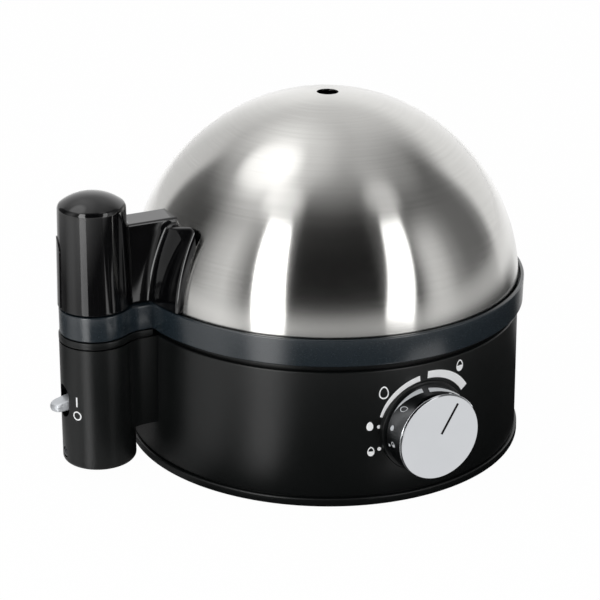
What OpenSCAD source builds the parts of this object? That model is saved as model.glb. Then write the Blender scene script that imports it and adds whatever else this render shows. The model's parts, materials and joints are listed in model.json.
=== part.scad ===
// Electric egg cooker: black drum with a side tower, lift-off egg tray and steel dome lid.
// Frame: +Z up, origin on the drum's axis in the plane it stands on, knob at -Y, tower at -X.

/* [Drum] */
// Radius of the drum's wall at its shoulder
drum_top_r = 89.8; // [89:0.1:91.5]
// Draft of the moulded walls of the drum, in degrees
drum_draft = 1.5; // [0.5:0.1:2.5]
// Height of the drum's shoulder above the table
drum_h = 63.4; // [61:0.1:75]
// Wall of the drum
wall = 2.4; // [1.8:0.1:3.2]
// Height of the drum's bottom rim above the table
rim_z = 5; // [4.6:0.1:6]
// Width of the collar that the tray sits on
collar_w = 3.2; // [2.4:0.1:4]
// Height of the collar above the shoulder
collar_h = 6.6; // [5.5:0.1:9]
// Width of the ledge that carries the heating dish
ledge_w = 4.4; // [3.5:0.1:6]
// Thickness of that ledge
ledge_t = 2.4; // [1.8:0.1:3.5]
// Depth of that ledge below the shoulder
ledge_drop = 1.4; // [1:0.1:2]

/* [Foot] */
// Gap between the foot ring and the table
foot_clear = 1; // [0.6:0.1:2]
// How far the foot ring stands out past the drum
foot_proud = 1.1; // [0.5:0.1:2.5]
// Width of the foot ring
foot_ring_w = 3; // [2.4:0.1:5]
// Groove between the foot ring and the drum
foot_groove = 0.4; // [0.2:0.1:0.8]
// Thickness of the floor
cover_t = 2.4; // [1.8:0.1:3]
// Radius of a rubber foot
foot_r = 7; // [5:0.5:9]
// Distance of the rubber feet inside the drum's shoulder
foot_inset = 19.8; // [18:0.1:40]

/* [Tower] */
// Distance of the tower's axis outside the drum's shoulder
tower_out = 24.8; // [22.5:0.1:34]
// Radius of the lower tower at its top
tower_r = 16.2; // [15.6:0.1:18]
// Draft of the lower tower, in degrees
tower_draft = 0.3; // [0:0.1:1]
// Wall of the tower
tower_wall = 2.2; // [1.6:0.1:2.6]
// Height of the tower's closed bottom above the table
tower_z = 5.8; // [4:0.1:8]
// Radius of the edge round the tower's bottom
tower_edge = 2; // [1:0.1:2.2]
// Width of the neck between drum and tower
neck_w = 20.6; // [16:0.1:24]
// Fillet between neck and tower
neck_fillet = 14; // [8:0.5:16]
// Height of the neck's lower face above the table
neck_z = 21.7; // [18:0.1:30]
// Groove between the lower tower and its cap
cap_groove = 0.6; // [0.3:0.1:1]
// Thickness of the tower cap
cap_t = 3; // [2:0.1:3.4]

/* [Tray] */
// Height of the gap between the shoulder and the tray's band
shadow_gap = 3.4; // [2:0.1:4]
// Height of the tray's band
band_h = 12.2; // [11:0.1:16]
// Width of the band's lip outside the dome
lip_w = 1.6; // [1:0.1:2.5]
// Thickness of the band's skirt outside the collar
skirt_t = 4; // [3:0.1:5]
// Radius of the band where it goes round the tower
loop_r = 15.8; // [15.4:0.1:17]
// Wall of that loop
loop_wall = 2.2; // [1.6:0.1:2.6]
// Thickness of the egg plate
plate_t = 2.4; // [1.6:0.1:3]
// Diameter of an egg hole
egg_d = 37; // [32:0.5:40]
// Taper of an egg hole, on the radius
egg_taper = 1.5; // [0.5:0.1:2.5]
// Distance of the outer egg holes from the axis
egg_circle = 52; // [48:0.5:58]
// Number of outer egg holes
egg_count = 6; // [4:1:6]
// Height of the rim round an egg hole
egg_rim_h = 4; // [2:0.5:8]
// Thickness of that rim
egg_rim_t = 1.6; // [1.2:0.1:2.4]
// Diameter of the steam holes
steam_d = 5; // [4:0.5:8]

/* [Dome] */
// How far the steel dome's outside lies within the drum's shoulder
dome_inset = 0; // [-0.5:0.1:1.5]
// Thickness of the steel
dome_t = 0.8; // [0.6:0.1:1.2]
// Height of the dome's rim above the centre of its sphere
dome_rise = 2.9; // [1:0.1:5]
// Height of the dome's seat above the collar
seat_h = 4.4; // [3.6:0.1:4.8]
// Diameter of the steam vent
vent_d = 9.8; // [6:0.1:14]

/* [Handle] */
// Radius of the upper tower at its bottom
handle_r = 15.7; // [15:0.1:17]
// Radius of the upper tower at its shoulder
handle_top_r = 14.8; // [14:0.1:16]
// Height of the upper tower from its bottom to its shoulder
handle_h = 45.7; // [40:0.1:60]
// Rise of its domed top
handle_cap = 5.5; // [3:0.1:8]
// Wall of the handle
handle_wall = 2.2; // [1.8:0.1:2.8]
// Width of the arm
arm_w = 14; // [12:0.1:18]
// Height of the arm from the handle's bottom
arm_h = 36.7; // [32:0.1:38]
// Width of the pad on the dome at its foot
pad_w = 56; // [44:0.5:60]
// Width of the pad at its top
pad_top_w = 51; // [40:0.5:55]
// Thickness of the pad
pad_t = 2.6; // [2.2:0.1:5]
// Corner radius of the pad
pad_corner = 3; // [2:0.5:8]
// How far the pad's upper edge dips beside the arm
pad_dip = 4; // [0:0.5:8]
// How much lower the pad ends on the side away from the knob
pad_drop = 8; // [0:0.5:14]
// Width of the inlay
inlay_w = 11.6; // [9:0.1:13]
// Height of the inlay
inlay_h = 31; // [24:0.5:34]
// Height of the inlay above the handle's bottom edge
inlay_up = 0.8; // [0.5:0.1:3]
// Direction of the inlay behind the tower's outermost line, in degrees
inlay_turn = 20; // [15:1:30]
// How far the inlay stands out
inlay_proud = 0.5; // [0.2:0.1:1]
// Depth of the inlay's pocket
inlay_depth = 1; // [0.6:0.1:1.2]
// Radius of the screws that hold the dome to the handle
dome_screw_r = 1.9; // [1.5:0.1:2.2]
// Radius of their heads
dome_head_r = 4; // [3:0.1:4.5]
// Thickness of their heads
dome_head_t = 2.2; // [1.5:0.1:3]
// Length of their shanks
dome_screw_len = 13; // [9:0.5:14]

/* [Knob] */
// Radius of the knob
knob_r = 19.75; // [18:0.05:22]
// Depth of the knob
knob_d = 12.3; // [11:0.1:16]
// Height of the knob's axis above the table
knob_z = 34.5; // [30:0.1:36]
// Wall of the knob's metal cap
knob_wall = 1.8; // [1.2:0.1:2.2]
// Bevel round the knob's face
knob_bevel = 0.8; // [0.4:0.1:1.2]
// Gap between the knob and its seat
knob_gap = 0.4; // [0.3:0.1:0.8]
// How far the flat seat stands out past the drum
seat_proud = 0.5; // [0.3:0.1:1.2]
// Margin of the seat round the knob
seat_margin = 1.1; // [0.6:0.1:1.4]
// Depth of the seat's flat inner face behind its front
seat_t = 4.8; // [4.4:0.1:5.6]
// Direction of the pointer at rest, clockwise from straight up, in degrees
pointer_turn = 30.7; // [0:0.1:60]
// Length of the pointer line
pointer_l = 15; // [10:0.5:16]
// Distance of its inner end from the knob's axis
pointer_in = 1.5; // [0.5:0.1:2.5]
// Width of the pointer line
pointer_w = 1.1; // [0.8:0.1:2]
// Depth of the pointer line
pointer_d = 0.6; // [0.3:0.1:0.9]
// Radius of the control shaft
shaft_r = 3; // [2.5:0.1:3.2]
// Radius of the threaded bush round the shaft
bush_r = 4.2; // [3.9:0.1:4.8]
// Radius of the potentiometer's can
pot_r = 8; // [7:0.1:8.5]
// Depth of the potentiometer's can
pot_d = 9; // [7:0.1:10]

/* [Switch] */
// Height of the switch lever's pivot above the table
switch_z = 36.35; // [34:0.05:39]
// Distance of the pivot outside the tower's axis
pivot_out = 6; // [5:0.1:6.5]
// Radius of the pivot pin
pin_r = 1.5; // [1.2:0.1:1.7]
// Radius of the lever's hub
hub_r = 3.4; // [3:0.1:3.6]
// Width of the lever
lever_w = 8.4; // [7:0.1:8.6]
// Thickness of the lever
lever_t = 5; // [4:0.1:5.4]
// How far the lever stands out of the tower
lever_out = 6.2; // [4:0.1:8]
// Angle of the lever below level at rest, in degrees
lever_droop = 9; // [6:0.5:11]
// Width of the slot
slot_w = 9.8; // [9.4:0.1:11]
// Height of the slot
slot_h = 15.3; // [14.5:0.1:18]
// Height of the pilot lamp above the table
lamp_z = 11; // [10.8:0.1:12]
// Radius of the lamp's lens
lamp_r = 2.4; // [1.8:0.1:2.6]
// How far the lens stands out
lamp_proud = 0.3; // [0.1:0.1:0.8]

/* [Heating] */
// Depth of the heating dish
dish_depth = 10.2; // [8:0.1:11]
// Thickness of the dish
dish_t = 1; // [0.8:0.1:1.5]
// Slope of the dish's side, on the radius
dish_slope = 4.4; // [3:0.1:6]
// Thickness of the seal under the dish's rim
seal_t = 1.2; // [0.8:0.1:2]
// Radius of the tubular heating element's ring
element_r = 48; // [42:0.5:50]
// Radius of its tube
tube_r = 3.3; // [2.8:0.1:3.5]
// Half angle of the gap between its two legs, in degrees
element_gap = 20; // [16:1:30]
// Depth of the heat shield below the dish
shield_depth = 11; // [10:0.1:12]
// Thickness of the heat shield
shield_t = 0.8; // [0.6:0.1:1.2]
// Distance of the dish's studs outside the element's ring
stud_out = 10; // [7:0.5:14]
// Radius of a stud
stud_r = 2; // [1.5:0.1:2.5]
// Radius of the thermostat
thermo_r = 9.5; // [8:0.1:11]
// Height of the thermostat
thermo_h = 7.5; // [6:0.1:9]

/* [Electrics] */
// Width of the control board
board_w = 56; // [44:1:60]
// Height of the control board's top above the table
board_top = 38; // [32:0.5:38]
// Thickness of the control board
board_t = 1.6; // [1:0.1:2]
// Width of a board post
post_w = 6; // [4:0.5:8]
// Height of the cord gland's axis above the table
gland_z = 17; // [15:0.5:24]
// Radius of the gland's body
gland_r = 5.4; // [4.5:0.1:6]
// Radius of the gland's bore
gland_bore = 3.4; // [2.5:0.1:3.8]
// Radius of the gland's flange
gland_flange = 8; // [7:0.1:9]

/* [Fits] */
// Gap between pieces that lift off each other
lift_gap = 0.4; // [0.3:0.05:0.6]
// Gap between the dome and the band's lip
dome_gap = 0.6; // [0.4:0.05:1]
// Gap between pieces that are fixed to each other
fix_gap = 0.1; // [0.05:0.01:0.15]
// Radial running clearance
run_gap = 0.05; // [0.02:0.01:0.1]

/* [Hidden] */
$fn = 96;
// Overlap of joined shapes, and how far a cut runs past the face it opens
eps = 0.01;
over = 1;
// Radial gap of a pressed pin
press_gap = 0.02;

function drum_r(z) = drum_top_r + (drum_h - z) * tan(drum_draft);
function tower_r_at(z) = tower_r + (drum_h - z) * tan(tower_draft);
function arc(cx, cy, r, a0, a1, n) = [for (i = [0:n])
    [cx + r * cos(a0 + (a1 - a0) * i / n), cy + r * sin(a0 + (a1 - a0) * i / n)]];

// Heights
collar_z = drum_h + collar_h;
ledge_z = drum_h - ledge_drop;
ledge_under = ledge_z - ledge_t;
band_z = drum_h + shadow_gap;
band_top = band_z + band_h;
seat_z = collar_z + seat_h;
plate_top = collar_z + plate_t;
cap_z = drum_h + cap_groove;
cap_top = cap_z + cap_t;
loop_z = cap_top + lift_gap;
loop_top = band_top - lift_gap;
dome_z = seat_z - dome_rise;
handle_z = band_top + lift_gap;
arm_top = handle_z + arm_h;
handle_shoulder = handle_z + handle_h;
dish_rim = ledge_z + seal_t;
dish_under = dish_rim - dish_depth;
shield_floor = dish_under - shield_depth;
shield_top = shield_floor + shield_t;
cover_z = rim_z - foot_groove - cover_t;
cover_top = cover_z + cover_t;
tower_floor = tower_z + tower_wall;

// Radii
tower_x = drum_top_r + tower_out;
foot_circle = drum_top_r - foot_inset;
stud_circle = element_r + stud_out;
dome_r = drum_top_r - dome_inset;
lip_in = dome_r + dome_gap;
band_r = lip_in + lip_w;
skirt_in = band_r - skirt_t;
collar_r = skirt_in - lift_gap;
collar_in = collar_r - collar_w;
ledge_in = collar_in - ledge_w;
dish_rim_r = collar_in - lift_gap;
dish_margin = 1;
dish_top_r = ledge_in - dish_margin;
dish_floor_r = dish_top_r - dish_slope;
shield_r = ledge_in + shield_t;
shield_floor_r = dish_floor_r - dish_slope;
tower_in = tower_r - tower_wall;
handle_in = handle_r - handle_wall;
spigot_r = loop_r - loop_wall - 2 * lift_gap;

// Knob and control, along -Y
knob_seat_y = drum_r(knob_z) + seat_proud;
knob_back = knob_seat_y + knob_gap;
knob_face = knob_back + knob_d;
knob_in = knob_r - knob_wall;
control_y = knob_seat_y - seat_t;
control_nut_t = 2.4;
bush_past_nut = 1.2;
bush_end = knob_seat_y + control_nut_t + bush_past_nut;
hub_back = bush_end + knob_gap;
hub_face = knob_face - knob_wall - fix_gap;
board_y = control_y - pot_d;
pot_back = 1.5;

// Cord gland, along +Y
gland_seat_y = drum_r(gland_z) + seat_proud;
gland_nut_t = 3.5;
gland_flange_t = 3;
gland_past_nut = 2;
gland_in = gland_seat_y - seat_t - gland_nut_t - gland_past_nut;

// Switch and lamp, along -X
pivot_x = -(tower_x + pivot_out);
switch_front = pivot_x + hub_r + lift_gap;
switch_d = 10;
switch_back = switch_front + switch_d;
switch_w = 14;
switch_h = 24;
switch_bottom = switch_z - switch_h / 2;
switch_top = switch_z + switch_h / 2;
ear_t = 2;
ear_y = lever_w / 2 + lift_gap;
lever_len = tower_r_at(switch_z) + lever_out - pivot_out;
lamp_tail = 3;
lamp_block = 7;
lamp_x = -(tower_x + tower_r_at(lamp_z) + lamp_proud);
lamp_back = lamp_x + lamp_proud + tower_wall + lamp_tail;
lamp_holder_back = lamp_back + lamp_block;
lamp_holder_top = lamp_z + lamp_block / 2;
tower_cut_out = -tower_x - 2 * tower_r;
tower_cut_in = -tower_x - tower_in / 2;

// Small sizes of the mouldings
cap_inset = 1;
cap_plug = 4;
cap_post_inset = 2;
band_edge = 0.5;
seat_w = 3.6;
seat_in = dome_r - seat_w;
steam_circle = (egg_circle + egg_d / 2 + egg_rim_t + collar_in) / 2;
egg_turn = 180 / egg_count;
spigot_h = 2.5;
inlay_z = handle_z + inlay_up;
inlay_arch_z = inlay_z + inlay_h - inlay_w / 2;
vent_slots = 7;
vent_pitch = 8;
vent_w = 3;
vent_l = 36;
land_inset = 0.9;
land_gap = 0.5;

// Heating element: the bed of its brazing, its legs and the gap between them
element_bed = 0.3;
element_z = dish_under - tube_r + element_bed;
leg_pin_r = 1.2;
leg_past_gap = 5;
leg_thin = 0.5;
leg_r = tube_r - leg_thin;
leg_turn = element_gap + leg_past_gap;
leg_x = element_r * sin(leg_turn);
leg_y = element_r * cos(leg_turn);
leg_drop = 3;
leg_end = shield_floor - leg_drop;
leg_pin_len = 7;
pin_end = leg_end - leg_pin_len;
gap_x = 2 * element_r * sin(element_gap);
gap_y = 2 * element_r * cos(element_gap);

// Electrics on the floor and behind the knob
board_front = -board_y;
board_back = -board_y + board_t;
board_lift = 3.4;
board_z = cover_top + board_lift;
post_d = 7;
post_grip = 6;
post_x = board_w / 2 - post_w;
buzzer_r = 6;
buzzer_d = 8;
buzzer_x = 11;
buzzer_up = 12;
buzzer_z = board_z + buzzer_up;
buzzer_hole_r = 1;
buzzer_hole_d = 3;
relay_x = -board_w / 2;
relay_w = 16;
relay_d = 12;
relay_h = 18;
relay_gap = 1;
relay_z = board_z + post_grip + relay_gap;
relay_back = board_back + relay_d;
terminal_count = 3;
terminal_side = 8.3;
terminal_front = 3.5;
terminal_x = leg_x - terminal_side;
terminal_y = leg_y - terminal_front;
terminal_d = 14;
terminal_pitch = 9;
terminal_h = 12;
terminal_top = cover_top + terminal_h;
terminal_hole_r = 1.8;
terminal_hole_up = 5;
terminal_hole_z = cover_top + terminal_hole_up;
terminal_screw_r = 1.6;
terminal_screw_d = 4;

// Wires: their radius, the bead at a bend, and where they run
wire_r = 1;
bead_r = 1.2 * wire_r;
relay_wire_z = relay_z + relay_h / 2;
switch_wire_y = switch_w / 4;
switch_wire_x = -board_w / 2;
switch_wire_z = switch_z - switch_h / 4;
block_wire_y = terminal_y + terminal_d / 2;
block_wire_z = terminal_top - terminal_h / 3;
lamp_wire_x = lamp_holder_back - 2 * wire_r;
lamp_wire_z = switch_bottom + 3 * wire_r;
control_wire_x = terminal_x + 1.5 * terminal_pitch;
control_wire_y = terminal_y / 2;
control_wire_z = terminal_top - terminal_h / 2;

// Screws, studs and small fittings
foot_count = 4;
foot_turn = 45;
foot_plug_r = 2.5;
boss_r = 4.2;
boss_top = 30;
boss_bite = 1;
boss_circle = drum_r(rim_z) - wall - boss_r + boss_bite;
cover_screw_r = 1.45;
cover_screw_len = 14;
cover_screw_end = cover_z + cover_screw_len;
cover_head_r = 3;
cover_head_t = 1.1;
cross_l = 4.2;
cross_w = 0.8;
nut_t = 3.2;
nut_rim = 2;
large_nut_rim = 3;
stud_count = 3;
stud_turn = 30;
stud_past_nut = 2;
bushing_r = 5;
bushing_drop = 2;
bushing_head_r = 6.5;
bushing_head_t = 2.5;
fuse_r = 2.2;
fuse_l = 24;
fuse_y = -28;
fuse_lift = 0.5;
fuse_z = shield_top + fuse_r + fuse_lift;
clip_w = 8;
clip_over = 1.5;
clip_top = fuse_z + fuse_r + clip_over;
holder_wall = 2.4;
holder_grip = 3;
dome_screw_up = [12, 22];
dome_head_gap = 0.15;
dome_head_top = dome_r - dome_t - dome_head_gap;
pin_half = ear_y + ear_t;

// A round bar along X, Y or Z between two places
module rod_x(r, x0, x1, y = 0, z = 0)
    translate([x0, y, z]) rotate([0, 90, 0]) cylinder(r = r, h = x1 - x0);
module rod_y(r, y0, y1, x = 0, z = 0)
    translate([x, y1, z]) rotate([90, 0, 0]) cylinder(r = r, h = y1 - y0);
module rod_z(r, z0, z1, x = 0, y = 0)
    translate([x, y, z0]) cylinder(r = r, h = z1 - z0);
// A block between two corners
module block(a, b) translate(a) cube(b - a);
// Places the children on a circle
module ring_of(count, radius, turn = 0)
    for (i = [0:count - 1])
        rotate([0, 0, turn + i * 360 / count]) translate([radius, 0, 0]) children();
module at_tower() translate([-tower_x, 0, 0]) children();
// A hexagon nut on +Z with a round bore
module hex_nut(r, t, bore) difference() {
    cylinder(r = r, h = t, $fn = 6);
    translate([0, 0, -over]) cylinder(r = bore, h = t + 2 * over);
}
// An insulated wire along its points, with a bead at each bend
module wire(points) {
    for (i = [0:len(points) - 2]) {
        run = points[i + 1] - points[i];
        translate(points[i]) rotate([0, acos(run[2] / norm(run)), atan2(run[1], run[0])])
            cylinder(r = wire_r, h = norm(run));
    }
    for (i = [1:1:len(points) - 2]) translate(points[i]) sphere(r = bead_r);
}

// Plan of tower and neck: a disc, a straight neck of half width w, and a fillet in each corner
module tower_plan(r, w, inner) {
    f = neck_fillet;
    d = sqrt(pow(r + f, 2) - pow(w + f, 2));
    translate([-tower_x, 0]) circle(r = r);
    translate([-tower_x, -w]) square([tower_x - inner, 2 * w]);
    for (side = [-1, 1]) difference() {
        polygon([[-tower_x, 0], [-tower_x + d, 0], [-tower_x + d, side * (w + f)]]);
        translate([-tower_x + d, side * (w + f)]) circle(r = f);
    }
}

// Outside of the drum, without the tower
module drum_outer() rotate_extrude() polygon([
    [0, rim_z], [drum_r(rim_z), rim_z], [drum_top_r, drum_h],
    [collar_r, drum_h], [collar_r, collar_z], [0, collar_z]]);
// Hollow of the drum, with the ledge for the dish
module drum_hollow() {
    rotate_extrude() polygon([
        [0, rim_z - over], [drum_r(rim_z - over) - wall, rim_z - over],
        [drum_r(ledge_under) - wall, ledge_under], [0, ledge_under]]);
    rod_z(ledge_in, ledge_under - over, collar_z + over);
    rod_z(collar_in, ledge_z, collar_z + over);
}
module tower_outer() at_tower() rotate_extrude() polygon(concat(
    [[0, tower_z]],
    arc(tower_r_at(tower_z) - tower_edge, tower_z + tower_edge, tower_edge, -90, 0, 8),
    [[tower_r, drum_h], [0, drum_h]]));
module tower_hollow() at_tower() rotate_extrude() polygon([
    [0, tower_floor], [tower_r_at(tower_floor) - tower_wall, tower_floor],
    [tower_in, drum_h], [tower_in, drum_h + over], [0, drum_h + over]]);
module neck_outer() translate([0, 0, neck_z]) linear_extrude(drum_h - neck_z)
    tower_plan(tower_r, neck_w / 2, drum_top_r - wall);
module neck_hollow() block(
    [-tower_x, wall - neck_w / 2, neck_z + wall],
    [2 * wall - drum_top_r, neck_w / 2 - wall, ledge_under - wall]);
// Slot of the switch lever
module slot() {
    end = (slot_h - slot_w) / 2;
    for (side = [-1, 1])
        rod_x(slot_w / 2, tower_cut_out, tower_cut_in, 0, switch_z + side * end);
    block([tower_cut_out, -slot_w / 2, switch_z - end], [tower_cut_in, slot_w / 2, switch_z + end]);
}

module base_housing() color("#1d1e20") difference() {
    union() {
        difference() {
            union() {
                drum_outer();
                tower_outer();
                neck_outer();
            }
            drum_hollow();
            tower_hollow();
            neck_hollow();
        }
        rod_y(knob_r + seat_margin, -knob_seat_y, -control_y, 0, knob_z);
        rod_y(gland_flange + seat_margin, gland_seat_y - seat_t, gland_seat_y, 0, gland_z);
        ring_of(foot_count, boss_circle, foot_turn) rod_z(boss_r, rim_z, boss_top);
        block([switch_front, -switch_w / 2, tower_floor - eps],
            [switch_back, switch_w / 2, switch_bottom]);
    }
    rod_y(bush_r + fix_gap, -knob_seat_y - over, -control_y + over, 0, knob_z);
    rod_y(gland_r + fix_gap, gland_seat_y - seat_t - over, gland_seat_y + over, 0, gland_z);
    ring_of(foot_count, boss_circle, foot_turn)
        rod_z(cover_screw_r + fix_gap, rim_z - over, cover_screw_end + over);
    slot();
    rod_x(lamp_r + fix_gap, tower_cut_out, tower_cut_in, 0, lamp_z);
}

// Plate over the lower tower and the neck, with a plug in the tower and a post on the switch
module tower_cap() color("#1f2022") {
    difference() {
        union() {
            difference() {
                union() {
                    translate([0, 0, cap_z]) linear_extrude(cap_t)
                        tower_plan(tower_r + fix_gap, neck_w / 2, drum_top_r);
                    translate([0, 0, drum_h]) linear_extrude(cap_groove)
                        tower_plan(tower_r - cap_inset, neck_w / 2 - cap_inset, drum_top_r);
                }
                rod_z(band_r + lift_gap, drum_h - over, cap_top + over);
            }
            rod_z(tower_in - fix_gap, drum_h - cap_plug, cap_z, -tower_x);
        }
        rod_z(tower_in - tower_wall, drum_h - cap_plug - over, drum_h, -tower_x);
    }
    block([switch_front + cap_post_inset, -switch_w / 4, switch_top],
        [switch_back - cap_post_inset, switch_w / 4, cap_z]);
}

// Floor with its foot ring, a raised land under the drum's rim and two posts for the board
module bottom_cover() {
    ring_out = drum_r(foot_clear) + foot_proud;
    ring_in = ring_out - foot_ring_w;
    land_out = drum_r(rim_z) - land_inset;
    land_in = boss_circle - boss_r - land_gap;
    color("#18191b") difference() {
        union() {
            rotate_extrude() polygon([
                [0, cover_z], [ring_in, cover_z], [ring_in, foot_clear], [ring_out, foot_clear],
                [drum_r(cover_top) + foot_proud, cover_top], [land_out, cover_top],
                [land_out, rim_z], [land_in, rim_z], [land_in, cover_top], [0, cover_top]]);
            for (side = [-1, 1]) board_post(side);
        }
        ring_of(foot_count, boss_circle, foot_turn)
            rod_z(cover_screw_r + fix_gap, cover_z - over, rim_z + over);
        ring_of(foot_count, foot_circle, foot_turn)
            rod_z(foot_plug_r + fix_gap, cover_z - over, cover_top + over);
        for (i = [0:vent_slots - 1])
            translate([(i - (vent_slots - 1) / 2) * vent_pitch, 0, 0]) vent_slot();
    }
}
module vent_slot() block(
    [-vent_w / 2, -vent_l / 2, cover_z - over], [vent_w / 2, vent_l / 2, cover_top + over]);
// Slotted post that holds one side of the control board
module board_post(side) difference() {
    translate([side * post_x, board_front + board_t / 2, 0]) block(
        [-post_w / 2, -post_d / 2, cover_top - eps], [post_w / 2, post_d / 2, board_z + post_grip]);
    block([-board_w, board_front - fix_gap, board_z], [board_w, board_back + fix_gap, board_top]);
}

module rubber_feet() color("#2a2a2a") ring_of(foot_count, foot_circle, foot_turn) {
    rod_z(foot_r, 0, cover_z);
    rod_z(foot_plug_r, cover_z - eps, cover_top);
}

module cover_screws() color("silver") ring_of(foot_count, boss_circle, foot_turn) difference() {
    union() {
        rod_z(cover_head_r, cover_z - cover_head_t, cover_z);
        rod_z(cover_screw_r, cover_z - eps, cover_screw_end);
    }
    for (turn = [0, 90]) rotate([0, 0, turn]) block(
        [-cross_l / 2, -cross_w / 2, cover_z - cover_head_t - over],
        [cross_l / 2, cross_w / 2, cover_z - cover_head_t / 2]);
}

module heating_dish() color("#8d8f92") rotate_extrude() polygon([
    [0, dish_under], [dish_floor_r, dish_under], [dish_top_r, dish_rim],
    [dish_rim_r, dish_rim], [dish_rim_r, dish_rim + dish_t], [dish_top_r - dish_t, dish_rim + dish_t],
    [dish_floor_r - dish_t, dish_under + dish_t], [0, dish_under + dish_t]]);

module dish_seal() color("#7a2f22") difference() {
    rod_z(dish_rim_r - lift_gap, ledge_z, dish_rim);
    rod_z(ledge_in + lift_gap, ledge_z - over, dish_rim + over);
}

// Places the children at the two legs of the element
module element_legs() for (side = [-1, 1])
    rotate([0, 0, 90 + side * leg_turn]) translate([element_r, 0, 0]) children();

// Tube ring with a gap, flattened where it is brazed to the dish, with two legs and their pins
module heating_element() color("#6f6a63") {
    difference() {
        translate([0, 0, element_z]) rotate_extrude() translate([element_r, 0]) circle(r = tube_r);
        translate([0, 0, element_z - 2 * tube_r]) linear_extrude(4 * tube_r)
            polygon([[0, 0], [-gap_x, gap_y], [gap_x, gap_y]]);
        rod_z(element_r + 2 * tube_r, dish_under, dish_under + 2 * tube_r);
    }
    element_legs() {
        rod_z(leg_r, leg_end, element_z);
        rod_z(leg_pin_r, pin_end, leg_end + eps);
    }
}

module element_bushings() color("#e6e0d2") element_legs() difference() {
    union() {
        rod_z(bushing_r, shield_floor - bushing_drop, shield_top);
        rod_z(bushing_head_r, shield_top, shield_top + bushing_head_t);
    }
    rod_z(leg_r + fix_gap, shield_floor - bushing_drop - over, shield_top + bushing_head_t + over);
}

module dish_studs() color("silver") ring_of(stud_count, stud_circle, stud_turn)
    rod_z(stud_r, shield_floor - nut_t - stud_past_nut, dish_under);

module heat_shield() color("#b9bbbd") difference() {
    rotate_extrude() polygon([
        [0, shield_floor], [shield_floor_r, shield_floor], [shield_r, ledge_under - shield_t],
        [collar_in, ledge_under - shield_t], [collar_in, ledge_under],
        [shield_r - shield_t, ledge_under], [shield_floor_r - shield_t, shield_top], [0, shield_top]]);
    ring_of(stud_count, stud_circle, stud_turn)
        rod_z(stud_r + fix_gap, shield_floor - over, shield_top + over);
    element_legs() rod_z(bushing_r + fix_gap, shield_floor - over, shield_top + over);
}

module shield_nuts() color("silver") ring_of(stud_count, stud_circle, stud_turn)
    translate([0, 0, shield_floor - nut_t]) hex_nut(stud_r + nut_rim, nut_t, stud_r + run_gap);

module thermostat() color("#c9c3b4") rod_z(thermo_r, dish_under - thermo_h, dish_under);

module thermostat_holder() color("#a7a9ab") difference() {
    rod_z(thermo_r + holder_wall, shield_top, dish_under - thermo_h + holder_grip);
    rod_z(thermo_r + fix_gap, dish_under - thermo_h, dish_under);
}

module thermal_fuse() color("#d8d2c4") rod_x(fuse_r, -fuse_l / 2, fuse_l / 2, fuse_y, fuse_z);

module fuse_clip() color("#a7a9ab") difference() {
    block([-clip_w / 2, fuse_y - clip_w / 2, shield_top], [clip_w / 2, fuse_y + clip_w / 2, clip_top]);
    rod_x(fuse_r + fix_gap, -clip_w, clip_w, fuse_y, fuse_z);
}

module control_board() color("#2f6b3a")
    block([-board_w / 2, board_front, board_z], [board_w / 2, board_back, board_top]);

module relay() color("#23456b")
    block([relay_x, board_back, relay_z], [relay_x + relay_w, relay_back, relay_z + relay_h]);

module buzzer() color("#202020") difference() {
    rod_y(buzzer_r, board_back, board_back + buzzer_d, buzzer_x, buzzer_z);
    rod_y(buzzer_hole_r, board_back + buzzer_d - buzzer_hole_d, board_back + buzzer_d + over,
        buzzer_x, buzzer_z);
}

module potentiometer() color("#9a9c9f") difference() {
    union() {
        rod_y(pot_r, -control_y, board_front, 0, knob_z);
        rod_y(bush_r, -bush_end, -control_y, 0, knob_z);
    }
    rod_y(shaft_r + run_gap, -bush_end - over, board_front - pot_back, 0, knob_z);
}

module control_nut() color("silver") translate([0, -knob_seat_y, knob_z]) rotate([90, 0, 0])
    hex_nut(bush_r + large_nut_rim, control_nut_t, bush_r + run_gap);

module terminal_block() color("#e8e6df") difference() {
    block([terminal_x, terminal_y, cover_top],
        [terminal_x + terminal_count * terminal_pitch, terminal_y + terminal_d, terminal_top]);
    for (i = [0:terminal_count - 1]) translate([terminal_x + (i + 0.5) * terminal_pitch, 0, 0]) {
        rod_y(terminal_hole_r, terminal_y - over, terminal_y + terminal_d + over, 0, terminal_hole_z);
        rod_z(terminal_screw_r, terminal_top - terminal_screw_d, terminal_top + over, 0, block_wire_y);
    }
}

module cord_gland() color("#1a1a1a") difference() {
    union() {
        rod_y(gland_flange, gland_seat_y, gland_seat_y + gland_flange_t, 0, gland_z);
        rod_y(gland_r, gland_in, gland_seat_y, 0, gland_z);
    }
    rod_y(gland_bore, gland_in - over, gland_seat_y + gland_flange_t + over, 0, gland_z);
}

module gland_nut() color("#1a1a1a") translate([0, gland_seat_y - seat_t, gland_z]) rotate([90, 0, 0])
    hex_nut(gland_r + large_nut_rim, gland_nut_t, gland_r + run_gap);

// Switch block with two ears that hold the lever's pin
module switch_body() color("#26272a") difference() {
    union() {
        block([switch_front, -switch_w / 2, switch_bottom], [switch_back, switch_w / 2, switch_top]);
        for (y = [-ear_y - ear_t, ear_y])
            block([pivot_x - hub_r, y, switch_z - hub_r],
                [switch_front + eps, y + ear_t, switch_z + hub_r]);
    }
    rod_y(pin_r + press_gap, -switch_w, switch_w, pivot_x, switch_z);
}

module switch_pin() color("silver") rod_y(pin_r, -pin_half, pin_half, pivot_x, switch_z);

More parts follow.
